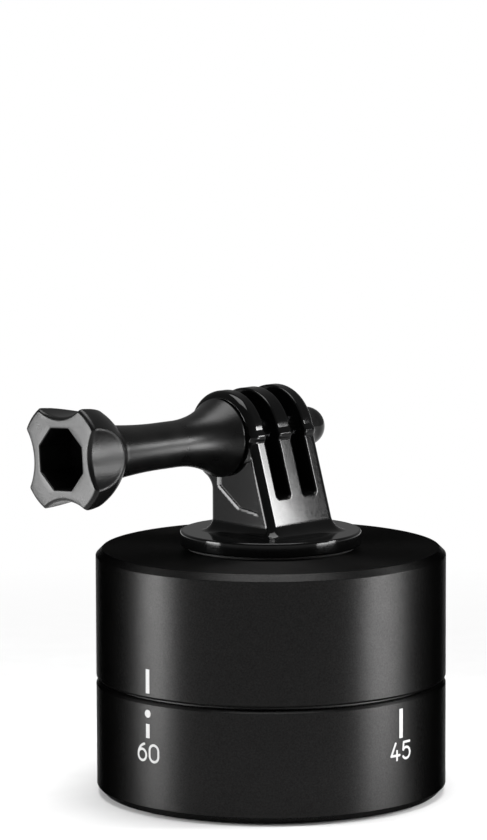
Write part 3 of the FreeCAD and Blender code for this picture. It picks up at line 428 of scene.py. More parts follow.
def half_plane(y, z, start, end):
    """Signed distance to the line from start to end; positive on its right."""
    run, rise = end[0] - start[0], end[1] - start[1]
    length = math.hypot(run, rise)
    return ((y - start[0]) * rise - (z - start[1]) * run) / length


def convex(y, z, corners, radius):
    """Distance to a convex outline given anticlockwise, its corners rounded."""
    field = None
    for i, corner in enumerate(corners):
        side = half_plane(y, z, corner, corners[(i + 1) % len(corners)])
        field = side if field is None else meet(field, side, radius)
    return field


def mesh_of_field(field, low, high, cell):
    """Points, quads and normals of a field's zero surface in a box; a few
    Newton steps bring the points onto the surface."""
    low, cell = np.array(low, float), np.array(cell, float) * np.ones(3)
    counts = np.ceil((np.array(high) - low) / cell).astype(int) + 1
    axes = [low[i] + cell[i] * np.arange(counts[i]) for i in range(3)]
    values = field(*np.meshgrid(*axes, indexing="ij"))
    grid = openvdb.FloatGrid(float(cell.max()))
    grid.copyFromArray(np.ascontiguousarray(values / cell.max(), dtype=np.float32))
    points, quads = grid.convertToQuads(0.0)
    points = low + points.astype(float) * cell
    for _ in range(3):
        slope, value = gradient(field, points)
        square = (slope ** 2).sum(1, keepdims=True)
        points -= slope * (value[:, None] / np.maximum(square, 1e-6))
    slope, _ = gradient(field, points)
    normals = slope / np.linalg.norm(slope, axis=1, keepdims=True)
    return points, quads.astype(int).tolist(), normals


def gradient(field, points, step=0.004):
    """The field's slope and value at points, by central differences."""
    slope = np.empty_like(points)
    for axis in range(3):
        shift = np.zeros(3)
        shift[axis] = step
        ahead, behind = points + shift, points - shift
        slope[:, axis] = (field(*ahead.T) - field(*behind.T)) / (2 * step)
    return slope, field(*points.T)


# ---------------------------------------------------------------- materials
# noise hardly leaves this range, so it is the one that is mapped
NOISE_LOW = 0.3
NOISE_HIGH = 0.7


class Nodes:
    """A material's node tree with short ways to add and link nodes."""

    def __init__(self, name):
        self.material = bpy.data.materials.new(name)
        self.material.use_nodes = True
        self.tree = self.material.node_tree
        self.shader = self.tree.nodes["Principled BSDF"]
        self.place = self.add("ShaderNodeTexCoord").outputs["Object"]

    def add(self, kind, **settings):
        """A new node with some of its properties set."""
        node = self.tree.nodes.new(kind)
        for key, setting in settings.items():
            setattr(node, key, setting)
        return node

    def link(self, output, socket):
        """Feeds an output into a socket."""
        self.tree.links.new(output, socket)

    def stretched(self, scale):
        """The object's coordinates scaled by a vector."""
        mapping = self.add("ShaderNodeMapping")
        mapping.inputs["Scale"].default_value = scale
        self.link(self.place, mapping.inputs["Vector"])
        return mapping.outputs["Vector"]

    def noise(self, size, detail=3.0, roughness=0.6, place=None):
        """Noise whose features are about size millimetres across."""
        noise = self.add("ShaderNodeTexNoise")
        noise.inputs["Scale"].default_value = 1 / (size * MM)
        noise.inputs["Detail"].default_value = detail
        noise.inputs["Roughness"].default_value = roughness
        self.link(place or self.place, noise.inputs["Vector"])
        return noise.outputs["Fac"]

    def ranged(self, value, low, high, start=NOISE_LOW, end=NOISE_HIGH):
        """The value's range from start to end mapped to low to high."""
        mapped = self.add("ShaderNodeMapRange")
        mapped.inputs["From Min"].default_value = start
        mapped.inputs["From Max"].default_value = end
        mapped.inputs["To Min"].default_value = low
        mapped.inputs["To Max"].default_value = high
        self.link(value, mapped.inputs["Value"])
        return mapped.outputs["Result"]

    def colour(self, value, dark, light):
        """Base colour from dark to light with a noise's value."""
        ramp = self.add("ShaderNodeValToRGB")
        stops = ((NOISE_LOW, dark), (NOISE_HIGH, light))
        for stop, (position, colour) in zip(ramp.color_ramp.elements, stops):
            stop.position = position
            stop.color = (*colour, 1)
        self.link(value, ramp.inputs["Fac"])
        self.link(ramp.outputs["Color"], self.shader.inputs["Base Color"])

    def rough(self, value, low, high):
        """Roughness from low to high with a noise's value."""
        self.link(self.ranged(value, low, high), self.shader.inputs["Roughness"])

    def bump(self, value, height, normal=None):
        """Raises the surface by height millimetres where the value is one."""
        bump = self.add("ShaderNodeBump")
        bump.inputs["Distance"].default_value = height * MM
        self.link(value, bump.inputs["Height"])
        if normal:
            self.link(normal, bump.inputs["Normal"])
        self.link(bump.outputs["Normal"], self.shader.inputs["Normal"])
        return bump.outputs["Normal"]

    def combined(self, operation, first, second):
        """Two values put together by one operation."""
        node = self.add("ShaderNodeMath", operation=operation)
        self.link(first, node.inputs[0])
        self.link(second, node.inputs[1])
        return node.outputs[0]

    def set(self, **sockets):
        """Constants for the shader's sockets; an underscore is a space."""
        for name, setting in sockets.items():
            self.shader.inputs[name.replace("_", " ")].default_value = setting


def grey(level, warmth=0.0):
    """A grey that leans to red with warmth, or to blue where it is negative."""
    return (level * (1 + warmth), level, level * (1 - warmth))


def anodised():
    """Black anodised aluminium: bead-blasted grain, highlights drawn upright."""
    make = Nodes("anodised_black")
    make.set(Metallic=1.0, Specular_Tint=(0.15, 0.15, 0.15, 1),
             Anisotropic=0.75, Anisotropic_Rotation=0.25)
    around = make.add("ShaderNodeTangent", direction_type="RADIAL", axis="Z")
    make.link(around.outputs["Tangent"], make.shader.inputs["Tangent"])
    grain = make.noise(0.3, 4.0, 0.75)
    cloud = make.noise(7.0, 2.0)
    make.colour(grain, grey(0.014), grey(0.026, 0.01))
    make.rough(cloud, 0.385, 0.42)
    make.bump(grain, 0.016)
    return make.material


def gloss_plastic():
    """Injection-moulded glossy black plastic with faint flow waves."""
    make = Nodes("gloss_plastic_black")
    make.set(IOR=1.46, Specular_IOR_Level=0.2)
    wave = make.noise(6.0, 1.0)
    fine = make.noise(0.5, 3.0)
    make.colour(wave, grey(0.0015), grey(0.0025, -0.03))
    make.rough(fine, 0.085, 0.115)
    make.bump(fine, 0.0003, make.bump(wave, 0.012))
    return make.material


def satin_plastic():
    """Eroded mould texture on black nylon."""
    make = Nodes("satin_plastic_black")
    make.set(IOR=1.5, Specular_IOR_Level=0.24)
    grain = make.noise(0.22, 4.0, 0.75)
    cloud = make.noise(5.0, 2.0)
    make.colour(cloud, grey(0.002), grey(0.0035, 0.01))
    make.rough(cloud, 0.26, 0.34)
    make.bump(grain, 0.018)
    return make.material


def rubber():
    """Matte rubber with a fine sanded face."""
    make = Nodes("rubber_black")
    make.set(IOR=1.4)
    grain = make.noise(0.12, 5.0, 0.8)
    make.colour(grain, grey(0.010), grey(0.022, 0.02))
    make.rough(make.noise(3.0), 0.62, 0.80)
    make.bump(grain, 0.02)
    return make.material


def ink():
    """White screen-printed ink, slightly uneven at its own scale."""
    make = Nodes("ink_white")
    make.set(IOR=1.45, Specular_IOR_Level=0.2)
    blot = make.noise(0.25, 4.0)
    make.colour(blot, grey(0.42, 0.005), grey(0.48))
    make.rough(blot, 0.42, 0.60)
    make.bump(blot, 0.006)
    return make.material


METAL_DULL = 0.9


def metal(name, colour, low, high, grain=0.05, stretch=(1, 1, 1)):
    """Bare or plated metal; its tool marks are short where stretch is large."""
    make = Nodes(name)
    make.set(Metallic=1.0)
    marks = make.noise(grain, 4.0, 0.7, make.stretched(stretch))
    cloud = make.noise(2.5, 3.0)
    make.colour(cloud, tuple(METAL_DULL * channel for channel in colour), colour)
    make.rough(marks, low, high)
    make.bump(marks, 0.002)
    return make.material


def painted_metal():
    """Black gloss lacquer over steel, with a trace of orange peel."""
    make = Nodes("lacquer_black")
    make.set(IOR=1.5, Specular_IOR_Level=0.25)
    peel = make.noise(0.6, 2.0)
    make.colour(peel, grey(0.003), grey(0.005))
    make.rough(peel, 0.10, 0.16)
    make.bump(peel, 0.006)
    return make.material


def nylon():
    """Plain black nylon of the ring inside the drum."""
    make = Nodes("nylon_black")
    make.set(IOR=1.53)
    grain = make.noise(0.3, 3.0)
    make.colour(grain, grey(0.02), grey(0.035))
    make.rough(grain, 0.4, 0.55)
    make.bump(grain, 0.004)
    return make.material


# stretches of the noise that draws tool marks
SHORT_Z = (1, 1, 8)
LONG_Z = (1, 1, 0.08)
SHORT_Y = (1, 12, 1)
SHORT_XY = (3, 3, 1)

FINISHES = {
    "case_black": anodised(),
    "foot_rubber": rubber(),
    "bush_steel": metal("steel_turned", (0.56, 0.56, 0.57), 0.2, 0.36, 0.08, SHORT_Z),
    "screw_steel": metal("steel_black_oxide", (0.07, 0.07, 0.075), 0.3, 0.45),
    "nylon": nylon(),
    "plate_brass": metal("brass_brushed", (0.72, 0.52, 0.24), 0.25, 0.4, 0.05, SHORT_Y),
    "wheel_brass": metal("brass_polished", (0.76, 0.56, 0.27), 0.12, 0.25),
    "arbor_steel": metal("steel_polished", (0.6, 0.6, 0.62), 0.1, 0.22, 0.05, SHORT_Z),
    "spring_steel": metal("steel_blued", (0.10, 0.14, 0.26), 0.2, 0.35, 0.05, LONG_Z),
    "hub_aluminium": metal("aluminium_turned", (0.75, 0.75, 0.77), 0.25, 0.4, 0.06, SHORT_Z),
    "adapter_plastic": gloss_plastic(),
    "nut_black": painted_metal(),
    "knob_plastic": satin_plastic(),
    "rod_steel": metal("steel_rod", (0.58, 0.58, 0.6), 0.16, 0.3, 0.06, SHORT_XY),
}
INK = ink()
SLOT_OF = {row["node"]: row["material_slot"] for row in frame["record"]["subparts"]}


def dress(thing, body, slot, node=None, material=None):
    """Gives a piece its finish and its body, and hides the CAD node that it stands for."""
    thing.data.materials.clear()
    thing.data.materials.append(material or FINISHES[slot])
    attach(thing, body)
    if node:
        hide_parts(node)
    return thing


# ---------------------------------------------------------------- drum
def make_base_shell():
    """Lower half: rounded chamfers, recess for the rubber ring, screw wells."""
    inner = CASE_RADIUS - CASE_WALL
    ledge = inner - GUIDE_LEDGE
    floor_top = BASE_BOTTOM + FLOOR_THICKNESS
    bush = BUSH_RADIUS + FIT
    outline = rounded([
        (bush, BASE_BOTTOM, EDGE_ROUND),
        (PAD_INNER - FIT, BASE_BOTTOM, EDGE_ROUND),
        (PAD_INNER - FIT, PAD_TOP, 0),
        (PAD_OUTER + FIT, PAD_TOP, 0),
        (PAD_OUTER + FIT, BASE_BOTTOM, EDGE_ROUND),
        (CASE_RADIUS - FOOT_CHAMFER, BASE_BOTTOM, 2 * EDGE_ROUND),
        (CASE_RADIUS, BASE_BOTTOM + FOOT_CHAMFER, 2 * EDGE_ROUND),
        (CASE_RADIUS, BASE_TOP - SEAM_CHAMFER, EDGE_ROUND),
        (CASE_RADIUS - SEAM_CHAMFER, BASE_TOP, EDGE_ROUND),
        (inner, BASE_TOP, EDGE_ROUND),
        (inner, BASE_TOP - GUIDE_DEPTH, 0),
        (ledge, BASE_TOP - GUIDE_DEPTH, 0),
        (ledge, floor_top, 0),
        (bush, floor_top, 0),
    ])
    shell = turned("drum_lower", outline)
    count = 48
    levels = (BASE_BOTTOM - WELL_TOOL_REACH, BASE_BOTTOM + WELL_DEPTH)
    rings = [ring_about_z(WELL_RADIUS, level, count) for level in levels]
    points, faces = skin(rings, [(0, 0, level) for level in levels])
    for screw in SCREWS:
        subtract(shell, add_mesh("well_tool", points + axis_of(screw), faces))
    return dress(shell, "base", "case_black", "base_shell")


def axis_of(node):
    """Where the axis of an upright node crosses the floor."""
    low, high = span(node)
    middle = (low + high) / 2
    return np.array((middle[0], middle[1], 0))


def subtract(thing, tool):
    """Cuts the tool out of the thing and throws the tool away."""
    cut = thing.modifiers.new("cut", "BOOLEAN")
    cut.operation = "DIFFERENCE"
    cut.solver = "EXACT"
    cut.object = tool
    thing.modifiers.move(len(thing.modifiers) - 1, 0)
    bpy.context.view_layer.objects.active = thing
    bpy.ops.object.modifier_apply(modifier=cut.name)
    bpy.data.objects.remove(tool)


def make_top_shell():
    """Upper half: a cap with a chamfered crown and a hole for the camera screw."""
    inner = CASE_RADIUS - CASE_WALL
    underside = CASE_TOP - LID_THICKNESS
    outline = rounded([
        (CAMERA_HOLE, underside, 0),
        (inner, underside, 0),
        (inner, LID_RIM, EDGE_ROUND),
        (CASE_RADIUS - SEAM_CHAMFER, LID_RIM, EDGE_ROUND),
        (CASE_RADIUS, LID_RIM + SEAM_CHAMFER, EDGE_ROUND),
        (CASE_RADIUS, CASE_TOP - CROWN_CHAMFER, 2 * EDGE_ROUND),
        (CASE_RADIUS - CROWN_CHAMFER, CASE_TOP, 2 * EDGE_ROUND),
        (CAMERA_HOLE, CASE_TOP, EDGE_ROUND),
    ])
    return dress(turned("drum_upper", outline), "pan_head", "case_black", "top_shell")


def make_foot_pad():
    """Rubber ring with concentric ribs on its underside."""
    corners = []
    pitch = (PAD_OUTER - PAD_INNER) / (PAD_RIBS + PAD_LAND)
    for rib in range(PAD_RIBS + 1):
        start = PAD_INNER + rib * pitch
        corners += [(start, 0, EDGE_ROUND), (start + PAD_LAND * pitch, 0, EDGE_ROUND)]
        if rib < PAD_RIBS:
            corners += [(start + side * pitch, PAD_RIB_DEPTH, 0) for side in PAD_GROOVE]
    corners += [(PAD_OUTER, PAD_TOP, 0), (PAD_INNER, PAD_TOP, 0)]
    ring = turned("foot_ring", rounded(corners), count=180)
    return dress(ring, "base", "foot_rubber", "foot_pad")


def make_washer():
    """Thin washer between the lid and the adapter."""
    outline = rounded([
        (CAMERA_HOLE, CASE_TOP, 0),
        (WASHER_RADIUS, CASE_TOP, EDGE_ROUND),
        (WASHER_RADIUS, WASHER_TOP, EDGE_ROUND),
        (CAMERA_HOLE, WASHER_TOP, 0),
    ])
    washer = turned("washer", outline, count=160)
    return dress(washer, "pan_head", "foot_rubber", "adapter_washer")


def make_bush():
    """Tripod bush with its 1/4 inch thread cut in turns."""
    count = 96
    seat = BUSH_TOP - BUSH_FLANGE_THICKNESS
    outside = rounded([
        (BUSH_CREST, 0, EDGE_ROUND),
        (BUSH_RADIUS, 0, EDGE_ROUND),
        (BUSH_RADIUS, seat, 0),
        (BUSH_FLANGE, seat, EDGE_ROUND),
        (BUSH_FLANGE, BUSH_TOP, EDGE_ROUND),
        (BUSH_CREST, BUSH_TOP, EDGE_ROUND),
    ])
    rings = [ring_about_z(radius, level, count) for radius, level in outside]
    lead = BUSH_THREAD_DEPTH
    for level in np.arange(BUSH_TOP - lead, lead, -BUSH_PITCH / 12):
        bore = thread(BUSH_CREST, BUSH_THREAD_DEPTH, BUSH_PITCH, level, count)
        rings.append(ring_about_z(bore, level, count))
    bush = add_mesh("tripod_thread", *skin(rings), sharp=50)
    return dress(bush, "base", "bush_steel", "tripod_bush")


def make_case_screws():
    """Socket-head screws in the drum's underside, heads down."""
    count = 60
    hexagon = polygon_radius(count, 6, SCREW_SOCKET_FLATS)
    chamfer, chamfer_depth = SCREW_SOCKET_CHAMFER
    taper, taper_length = SCREW_POINT
    for screw in SCREWS:
        low, high = span(screw)
        face, end = low[2], high[2]
        seat = face + SCREW_HEAD_HEIGHT
        floor = face + SCREW_SOCKET_DEPTH
        rings = [ring_about_z(hexagon, floor, count),
                 ring_about_z(hexagon, face + chamfer_depth, count),
                 ring_about_z(hexagon + chamfer, face, count)]
        head = rounded([(SCREW_RADIUS, face, 0), (SCREW_HEAD_RADIUS, face, SCREW_HEAD_EDGE),
                        (SCREW_HEAD_RADIUS, seat, SCREW_SEAT_EDGE),
                        (SCREW_RADIUS, seat, 0)])
        rings += [ring_about_z(radius, level, count) for radius, level in head[1:]]
        for level in np.arange(seat + SCREW_NECK, end - taper_length, SCREW_PITCH / 4):
            radius = thread(SCREW_RADIUS, SCREW_THREAD_DEPTH, SCREW_PITCH, level, count)
            rings.append(ring_about_z(radius, level, count))
        rings.append(ring_about_z(SCREW_RADIUS - taper, end, count))
        points, faces = skin(rings, [(0, 0, floor), (0, 0, end)])
        thing = add_mesh(screw.replace("case", "drum"), points + axis_of(screw), faces,
                         sharp=45)
        dress(thing, "base", "screw_steel", screw)


# ---------------------------------------------------------------- marks
# strokes in number heights: a line's two ends, or an arc's centre, radius and
# first and last degrees
GLYPHS = {
    "0": (("arc", 0, 0.13, 0.30, 0, 180), ("arc", 0, -0.13, 0.30, 180, 360),
          ("line", -0.30, -0.13, -0.30, 0.13), ("line", 0.30, -0.13, 0.30, 0.13)),
    "1": (("line", 0.06, 0.43, 0.06, -0.43), ("line", 0.06, 0.43, -0.16, 0.24)),
    "3": (("arc", -0.02, 0.20, 0.23, -80, 150), ("arc", -0.02, -0.17, 0.26, -150, 85)),
    "4": (("line", 0.02, 0.43, -0.29, -0.20), ("line", -0.29, -0.20, 0.31, -0.20),
          ("line", 0.12, 0.03, 0.12, -0.43)),
    "5": (("line", -0.21, 0.43, 0.25, 0.43), ("line", -0.21, 0.43, -0.25, 0.05),
          ("arc", -0.01, -0.14, 0.29, -145, 142)),
    "6": (("arc", 0, -0.14, 0.29, 0, 360), ("arc", 0.296, -0.14, 0.586, 103.4, 180)),
}
GLYPH_PITCH = 0.83
GLYPH_STROKE = 0.125


def line_distance(u, v, x0, y0, x1, y1):
    """Distance to a line between two ends."""
    run, rise = x1 - x0, y1 - y0
    share = ((u - x0) * run + (v - y0) * rise) / (run ** 2 + rise ** 2)
    share = np.clip(share, 0, 1)
    return np.hypot(u - x0 - share * run, v - y0 - share * rise)


def arc_distance(u, v, x, y, radius, first, last):
    """Distance to an arc that runs anticlockwise from first to last degrees."""
    half = math.radians(last - first) / 2
    middle = math.radians(last + first) / 2
    along, across = u - x, v - y
    turn = np.arctan2(across, along) - middle
    turn = np.abs((turn + math.pi) % TURN - math.pi)
    inside = np.abs(np.hypot(along, across) - radius)
    ends = [np.hypot(along - radius * math.cos(middle + side * half),
                     across - radius * math.sin(middle + side * half))
            for side in (-1, 1)]
    return np.where(turn <= half, inside, np.minimum(*ends))


def number_field(text, u, v):
    """Distance to the strokes of a number centred on the origin."""
    field = None
    for place, digit in enumerate(text):
        shift = (place - (len(text) - 1) / 2) * GLYPH_PITCH
        for kind, *shape in GLYPHS[digit]:
            distance = line_distance if kind == "line" else arc_distance
            stroke = distance(u / NUMBER_HEIGHT - shift, v / NUMBER_HEIGHT, *shape)
            field = stroke if field is None else np.minimum(field, stroke)
    return (field - GLYPH_STROKE / 2) * NUMBER_HEIGHT


def box_field(u, v, half_width, low, high):
    """Distance to an upright bar between two levels."""
    return np.maximum(np.abs(u) - half_width, np.abs(v - (low + high) / 2) - (high - low) / 2)


def print_on_drum(name, angle, field, low, high, body):
    """A thin skin of ink: the field is over arc length and height."""
    def solid(u, v, w):
        layer = np.abs(w + (INK_ROOT - INK_HEIGHT) / 2) - (INK_ROOT + INK_HEIGHT) / 2
        return meet(field(u, v), layer, INK_EDGE)

    points, faces, _ = mesh_of_field(
        solid, (low[0] - INK_MARGIN, low[1] - INK_MARGIN, -INK_ROOT - INK_MARGIN_DEEP),
        (high[0] + INK_MARGIN, high[1] + INK_MARGIN, INK_HEIGHT + INK_MARGIN_DEEP), INK_CELL)
    turn = math.radians(angle) + points[:, 0] / CASE_RADIUS
    radius = CASE_RADIUS + points[:, 2]
    bent = np.stack([radius * np.sin(turn), -radius * np.cos(turn), points[:, 1]], 1)
    dress(add_mesh(name, bent, faces, sharp=60), body, "case_black", material=INK)


def make_marks():
    """Numbers and ticks on the lower half, an index line on the upper half."""
    half = MARK_WIDTH / 2
    for text, angle in MARKS:
        zero = text == "60"
        tick = TICK_SHORT if zero else TICK_LONG
        print_on_drum(
            "number_" + text, angle,
            lambda u, v, text=text: number_field(text, u, v - NUMBER_LEVEL),
            (-NUMBER_HEIGHT, NUMBER_LEVEL - NUMBER_HEIGHT / 2),
            (NUMBER_HEIGHT, NUMBER_LEVEL + NUMBER_HEIGHT / 2), "base")
        print_on_drum("tick_" + text, angle,
                      lambda u, v, tick=tick: box_field(u, v, half, *tick),
                      (-half, tick[0]), (half, tick[1]), "base")
    zero_angle = MARKS[0][1]
    print_on_drum("dot_60", zero_angle,
                  lambda u, v: np.hypot(u, v - DOT_LEVEL) - DOT_RADIUS,
                  (-DOT_RADIUS, DOT_LEVEL - DOT_RADIUS),
                  (DOT_RADIUS, DOT_LEVEL + DOT_RADIUS), "base")
    print_on_drum("index_line", zero_angle,
                  lambda u, v: box_field(u, v, half, *INDEX_LEVELS),
                  (-half, INDEX_LEVELS[0]), (half, INDEX_LEVELS[1]), "pan_head")


# ---------------------------------------------------------------- adapter
def adapter_field(x, y, z):
    """Disc foot, leaning stem, three eyes, two flat-bottomed slots, nut boss."""
    around = np.hypot(x, y)
    disc = meet(around - DISC_RADIUS,
                np.abs(z - DISC_THICKNESS / 2) - DISC_THICKNESS / 2, DISC_EDGE)
    front_top = PIVOT_OFFSET - EYE_RADIUS
    front = half_plane(y, z, (front_top, PIVOT_HEIGHT), (-STEM_FRONT, DISC_THICKNESS))
    stem = np.maximum(np.maximum(front, y - STEM_BACK), z - PIVOT_HEIGHT)
    pin = np.hypot(y - PIVOT_OFFSET, z - PIVOT_HEIGHT)
    fillet = np.where(y > 0, EYE_FILLET_BACK, EYE_FILLET_FRONT)
    side = join(stem, pin - EYE_RADIUS, fillet)
    bead = np.hypot(y - BEAD[0], z - BEAD[1]) - BEAD[2]
    side = join(side, bead, BEAD_FILLET)
    side = meet(side, np.abs(x) - STACK_HALF, SIDE_ROUND)
    body = join(disc, np.maximum(side, DISC_THICKNESS / 2 - z), STEM_FILLET)
    boss = meet(pin - NUT_BOSS_RADIUS, np.abs(x - STACK_HALF) - NUT_BOSS_HEIGHT,
                NUT_BOSS_EDGE)
    body = join(body, boss, NUT_BOSS_FILLET)

    centre = (PRONG + PRONG_GAP) / 2
    across = np.abs(np.abs(x) - centre) - PRONG_GAP / 2 + SLOT_CORNER
    below = SLOT_FLOOR + SLOT_CORNER - z
    slot = (np.hypot(np.maximum(across, 0), np.maximum(below, 0))
            + np.minimum(np.maximum(across, below), 0) - SLOT_CORNER)
    body = carve(body, slot, SLOT_EDGE)

    inside = -convex(y, z, PANEL, PANEL_CORNER)
    bevel, slope = PANEL_BEVEL
    sunk = slope * inside + PANEL_WALL_SLOPE * np.maximum(inside - bevel, 0)
    floor = np.abs(x) - STACK_HALF + np.minimum(sunk, PANEL_DEPTH)
    body = np.where(inside > 0, np.maximum(body, floor), body)

    body = carve(body, pin - EYE_BORE, EYE_BORE_EDGE)
    nut = hexagon_field(y - PIVOT_OFFSET, z - PIVOT_HEIGHT, NUT_POCKET_FLATS)
    pocket_floor = STACK_HALF + NUT_BOSS_HEIGHT - NUT_POCKET_DEPTH
    body = carve(body, np.maximum(nut, pocket_floor - x), NUT_POCKET_EDGE)
    socket = np.maximum(around - SOCKET_RADIUS, z - SOCKET_DEPTH)
    return carve(body, socket, SOCKET_EDGE)


def hexagon_field(y, z, flats):
    """A hexagon with two corners above and below its centre."""
    sides = [np.abs(y * math.cos(a) + z * math.sin(a))
             for a in (0, math.pi / 3, -math.pi / 3)]
    return np.maximum(np.maximum(sides[0], sides[1]), sides[2]) - flats / 2


def make_adapter():
    """The three-pronged adapter, meshed from its field with the field's normals."""
    margin = 0.5
    reach = DISC_RADIUS + margin
    top = PIVOT_HEIGHT + EYE_RADIUS + margin
    points, faces, normals = mesh_of_field(
        adapter_field, (-reach, -reach, -margin), (reach, reach, top), ADAPTER_CELL)
    adapter = add_mesh("adapter", points, faces, ADAPTER_FRAME, normals)
    return dress(adapter, "pan_head", "adapter_plastic", "mount_adapter")


def make_nut():
    """Cap nut: chamfered hexagon with a dome, its bore blind."""
    count = 96
    hexagon = polygon_radius(count, 6, NUT_FLATS, HALF_PI)
    bore = ROD_RADIUS + FIT
    rings = [ring_about_x(bore, NUT_BORE_END, count),
             ring_about_x(bore, NUT_START, count),
             ring_about_x(hexagon - NUT_EDGE, NUT_START, count),
             ring_about_x(hexagon, NUT_START + NUT_EDGE, count)]
    for along in np.linspace(NUT_END - NUT_CORNER_CHAMFER, NUT_END, 7):
        cone = NUT_FLATS / 2 + (NUT_END - along) * NUT_CORNER_SLOPE
        rings.append(ring_about_x(np.minimum(hexagon, cone), along, count))
    rings.append(ring_about_x(DOME_RADIUS + DOME_FILLET, NUT_END, count))
    rings.append(ring_about_x(DOME_RADIUS, NUT_END + DOME_FILLET, count))
    for turn in np.linspace(0, HALF_PI, 18)[:-1]:
        along = DOME_END - DOME_RADIUS + DOME_RADIUS * math.sin(turn)
        rings.append(ring_about_x(DOME_RADIUS * math.cos(turn), along, count))
    points, faces = skin(rings, [(NUT_BORE_END, 0, 0), (DOME_END, 0, 0)])
    nut = add_mesh("cap_nut", points, faces, SCREW_FRAME, sharp=50)
    return dress(nut, "pan_head", "nut_black", "clamp_nut")


# ---------------------------------------------------------------- thumbscrew
def lobed_radius(profile, count):
    """A round section of one radius with four scallops cut from it."""
    centre = SCALLOP_FLOOR + SCALLOP_RADIUS
    turn = (angles(count) + math.pi / 4) % HALF_PI - math.pi / 4
    reach = SCALLOP_RADIUS ** 2 - (centre * np.sin(turn)) ** 2
    scallop = centre * np.cos(turn) - np.sqrt(np.maximum(reach, 0))
    return meet_radius(np.full(count, profile), scallop, LOBE_EDGE)


def meet_radius(first, second, radius):
    """The smaller of two radii, with the change from one to the other eased."""
    share = np.clip(0.5 + 0.5 * (second - first) / radius, 0, 1)
    return second + (first - second) * share - radius * share * (1 - share) / 2


def radius_on_arc(start, end, curve, along):
    """Radius at a place on the arc from start to end; it bulges to the right."""
    centre = arc_centre(start, end, curve)
    side = 1 if end[0] < start[0] else -1
    return centre[1] + side * math.sqrt(max(curve ** 2 - (along - centre[0]) ** 2, 0))


def handle_radius(along):
    """Radius of the turned handle between its rim and the bell's rim."""
    if along > NECK_END:
        bell = radius_on_arc((NECK_START, NECK_RADIUS),
                             (BELL_FACE - BELL_RIM, BELL_RADIUS), BELL_CURVE, along)
        return bell if along > NECK_START else NECK_RADIUS
    taper = radius_on_arc((SHOULDER_END, COLLAR_RADIUS), (NECK_END, NECK_RADIUS),
                          TAPER_CURVE, along)
    shoulder = radius_on_arc((SHOULDER_END, COLLAR_RADIUS),
                             (KNOB_FACE + KNOB_RIM, KNOB_RADIUS), SHOULDER_CURVE, along)
    return -float(meet_radius(-taper, -shoulder, COLLAR_FILLET))


def make_knob():
    """Bell, neck, shoulder and lobed head with an octagonal recess."""
    count = 320
    bore = ROD_RADIUS + FIT
    bore_end = ROD_START - KNOB_BORE_SPARE
    rings = [ring_about_x(bore, bore_end, count), ring_about_x(bore, BELL_FACE, count)]
    rim_back = BELL_FACE - BELL_RIM
    rim = rounded([(BELL_RADIUS - BELL_FLAT, BELL_FACE, 0),
                   (BELL_RADIUS, BELL_FACE, BELL_EDGE),
                   (BELL_RADIUS, rim_back, EDGE_ROUND),
                   (BELL_RADIUS - BELL_LEAD[0], rim_back - BELL_LEAD[1], 0)])
    rings += [ring_about_x(radius, along, count) for radius, along in rim[:-1]]
    rim_start = KNOB_FACE + KNOB_RIM
    for along in np.concatenate([np.linspace(rim_back - BELL_EDGE, NECK_END, 40),
                                 np.linspace(NECK_END, rim_start, 90)[1:]]):
        section = lobed_radius(handle_radius(along), count)
        rings.append(ring_about_x(section, along, count))
    outer = lobed_radius(KNOB_RADIUS, count)
    for turn in np.linspace(0, HALF_PI, 8):
        rings.append(ring_about_x(outer - KNOB_EDGE * (1 - math.cos(turn)),
                                  KNOB_FACE + KNOB_EDGE * (1 - math.sin(turn)), count))
    corner_angle = math.pi / 8
    flats = 2 * RECESS_RADIUS * math.cos(corner_angle)
    octagon = polygon_radius(count, 8, flats, corner_angle)
    for share in FACE_RINGS:
        face = outer - KNOB_EDGE + (octagon + RECESS_EDGE - outer + KNOB_EDGE) * share
        rings.append(ring_about_x(face, KNOB_FACE, count))
    for turn in np.linspace(0, HALF_PI, 5):
        rings.append(ring_about_x(octagon + RECESS_EDGE * (1 - math.sin(turn)),
                                  KNOB_FACE + RECESS_EDGE * (1 - math.cos(turn)), count))
    for depth in np.linspace(RECESS_STRAIGHT, RECESS_DEPTH, 6):
        rings.append(ring_about_x(octagon - RECESS_DRAFT * depth, KNOB_FACE + depth, count))
    poles = [(bore_end, 0, 0), (KNOB_FACE + RECESS_DEPTH, 0, 0)]
    points, faces = skin(rings, poles)
    place = SCREW_FRAME @ Matrix.Rotation(-KNOB_TURN, 4, "X")
    knob = add_mesh("knob", points, faces, place, sharp=48)
    return dress(knob, "thumbscrew", "knob_plastic", "thumb_knob")


def make_rod():
    """M5 rod: plain in the knob, threaded through the prongs and the nut."""
    count = 64
    rings = [ring_about_x(ROD_RADIUS - ROD_CHAMFER, ROD_START, count),
             ring_about_x(ROD_RADIUS, ROD_START + ROD_CHAMFER, count),
             ring_about_x(ROD_RADIUS, ROD_THREAD_START, count)]
    taper, taper_length = ROD_POINT
    end = ROD_END - taper_length
    for along in np.arange(ROD_THREAD_START + ROD_PITCH / 8, end, ROD_PITCH / 10):
        depth = ROD_THREAD_DEPTH * min(1, (along - ROD_THREAD_START) / ROD_PITCH)
        radius = thread(ROD_RADIUS, depth, ROD_PITCH, along, count)
        rings.append(ring_about_x(radius, along, count))
    rings.append(ring_about_x(ROD_RADIUS - taper, ROD_END, count))
    points, faces = skin(rings, [(ROD_START, 0, 0), (ROD_END, 0, 0)])
    rod = add_mesh("rod", points, faces, SCREW_FRAME, sharp=50)
    return dress(rod, "thumbscrew", "rod_steel", "clamp_rod")


def dress_inner_nodes():
    """The pieces inside the drum keep their shape and get their finish."""
    for name, node in frame["nodes"].items():
        node.data.materials.clear()
        node.data.materials.append(FINISHES[SLOT_OF[name]])


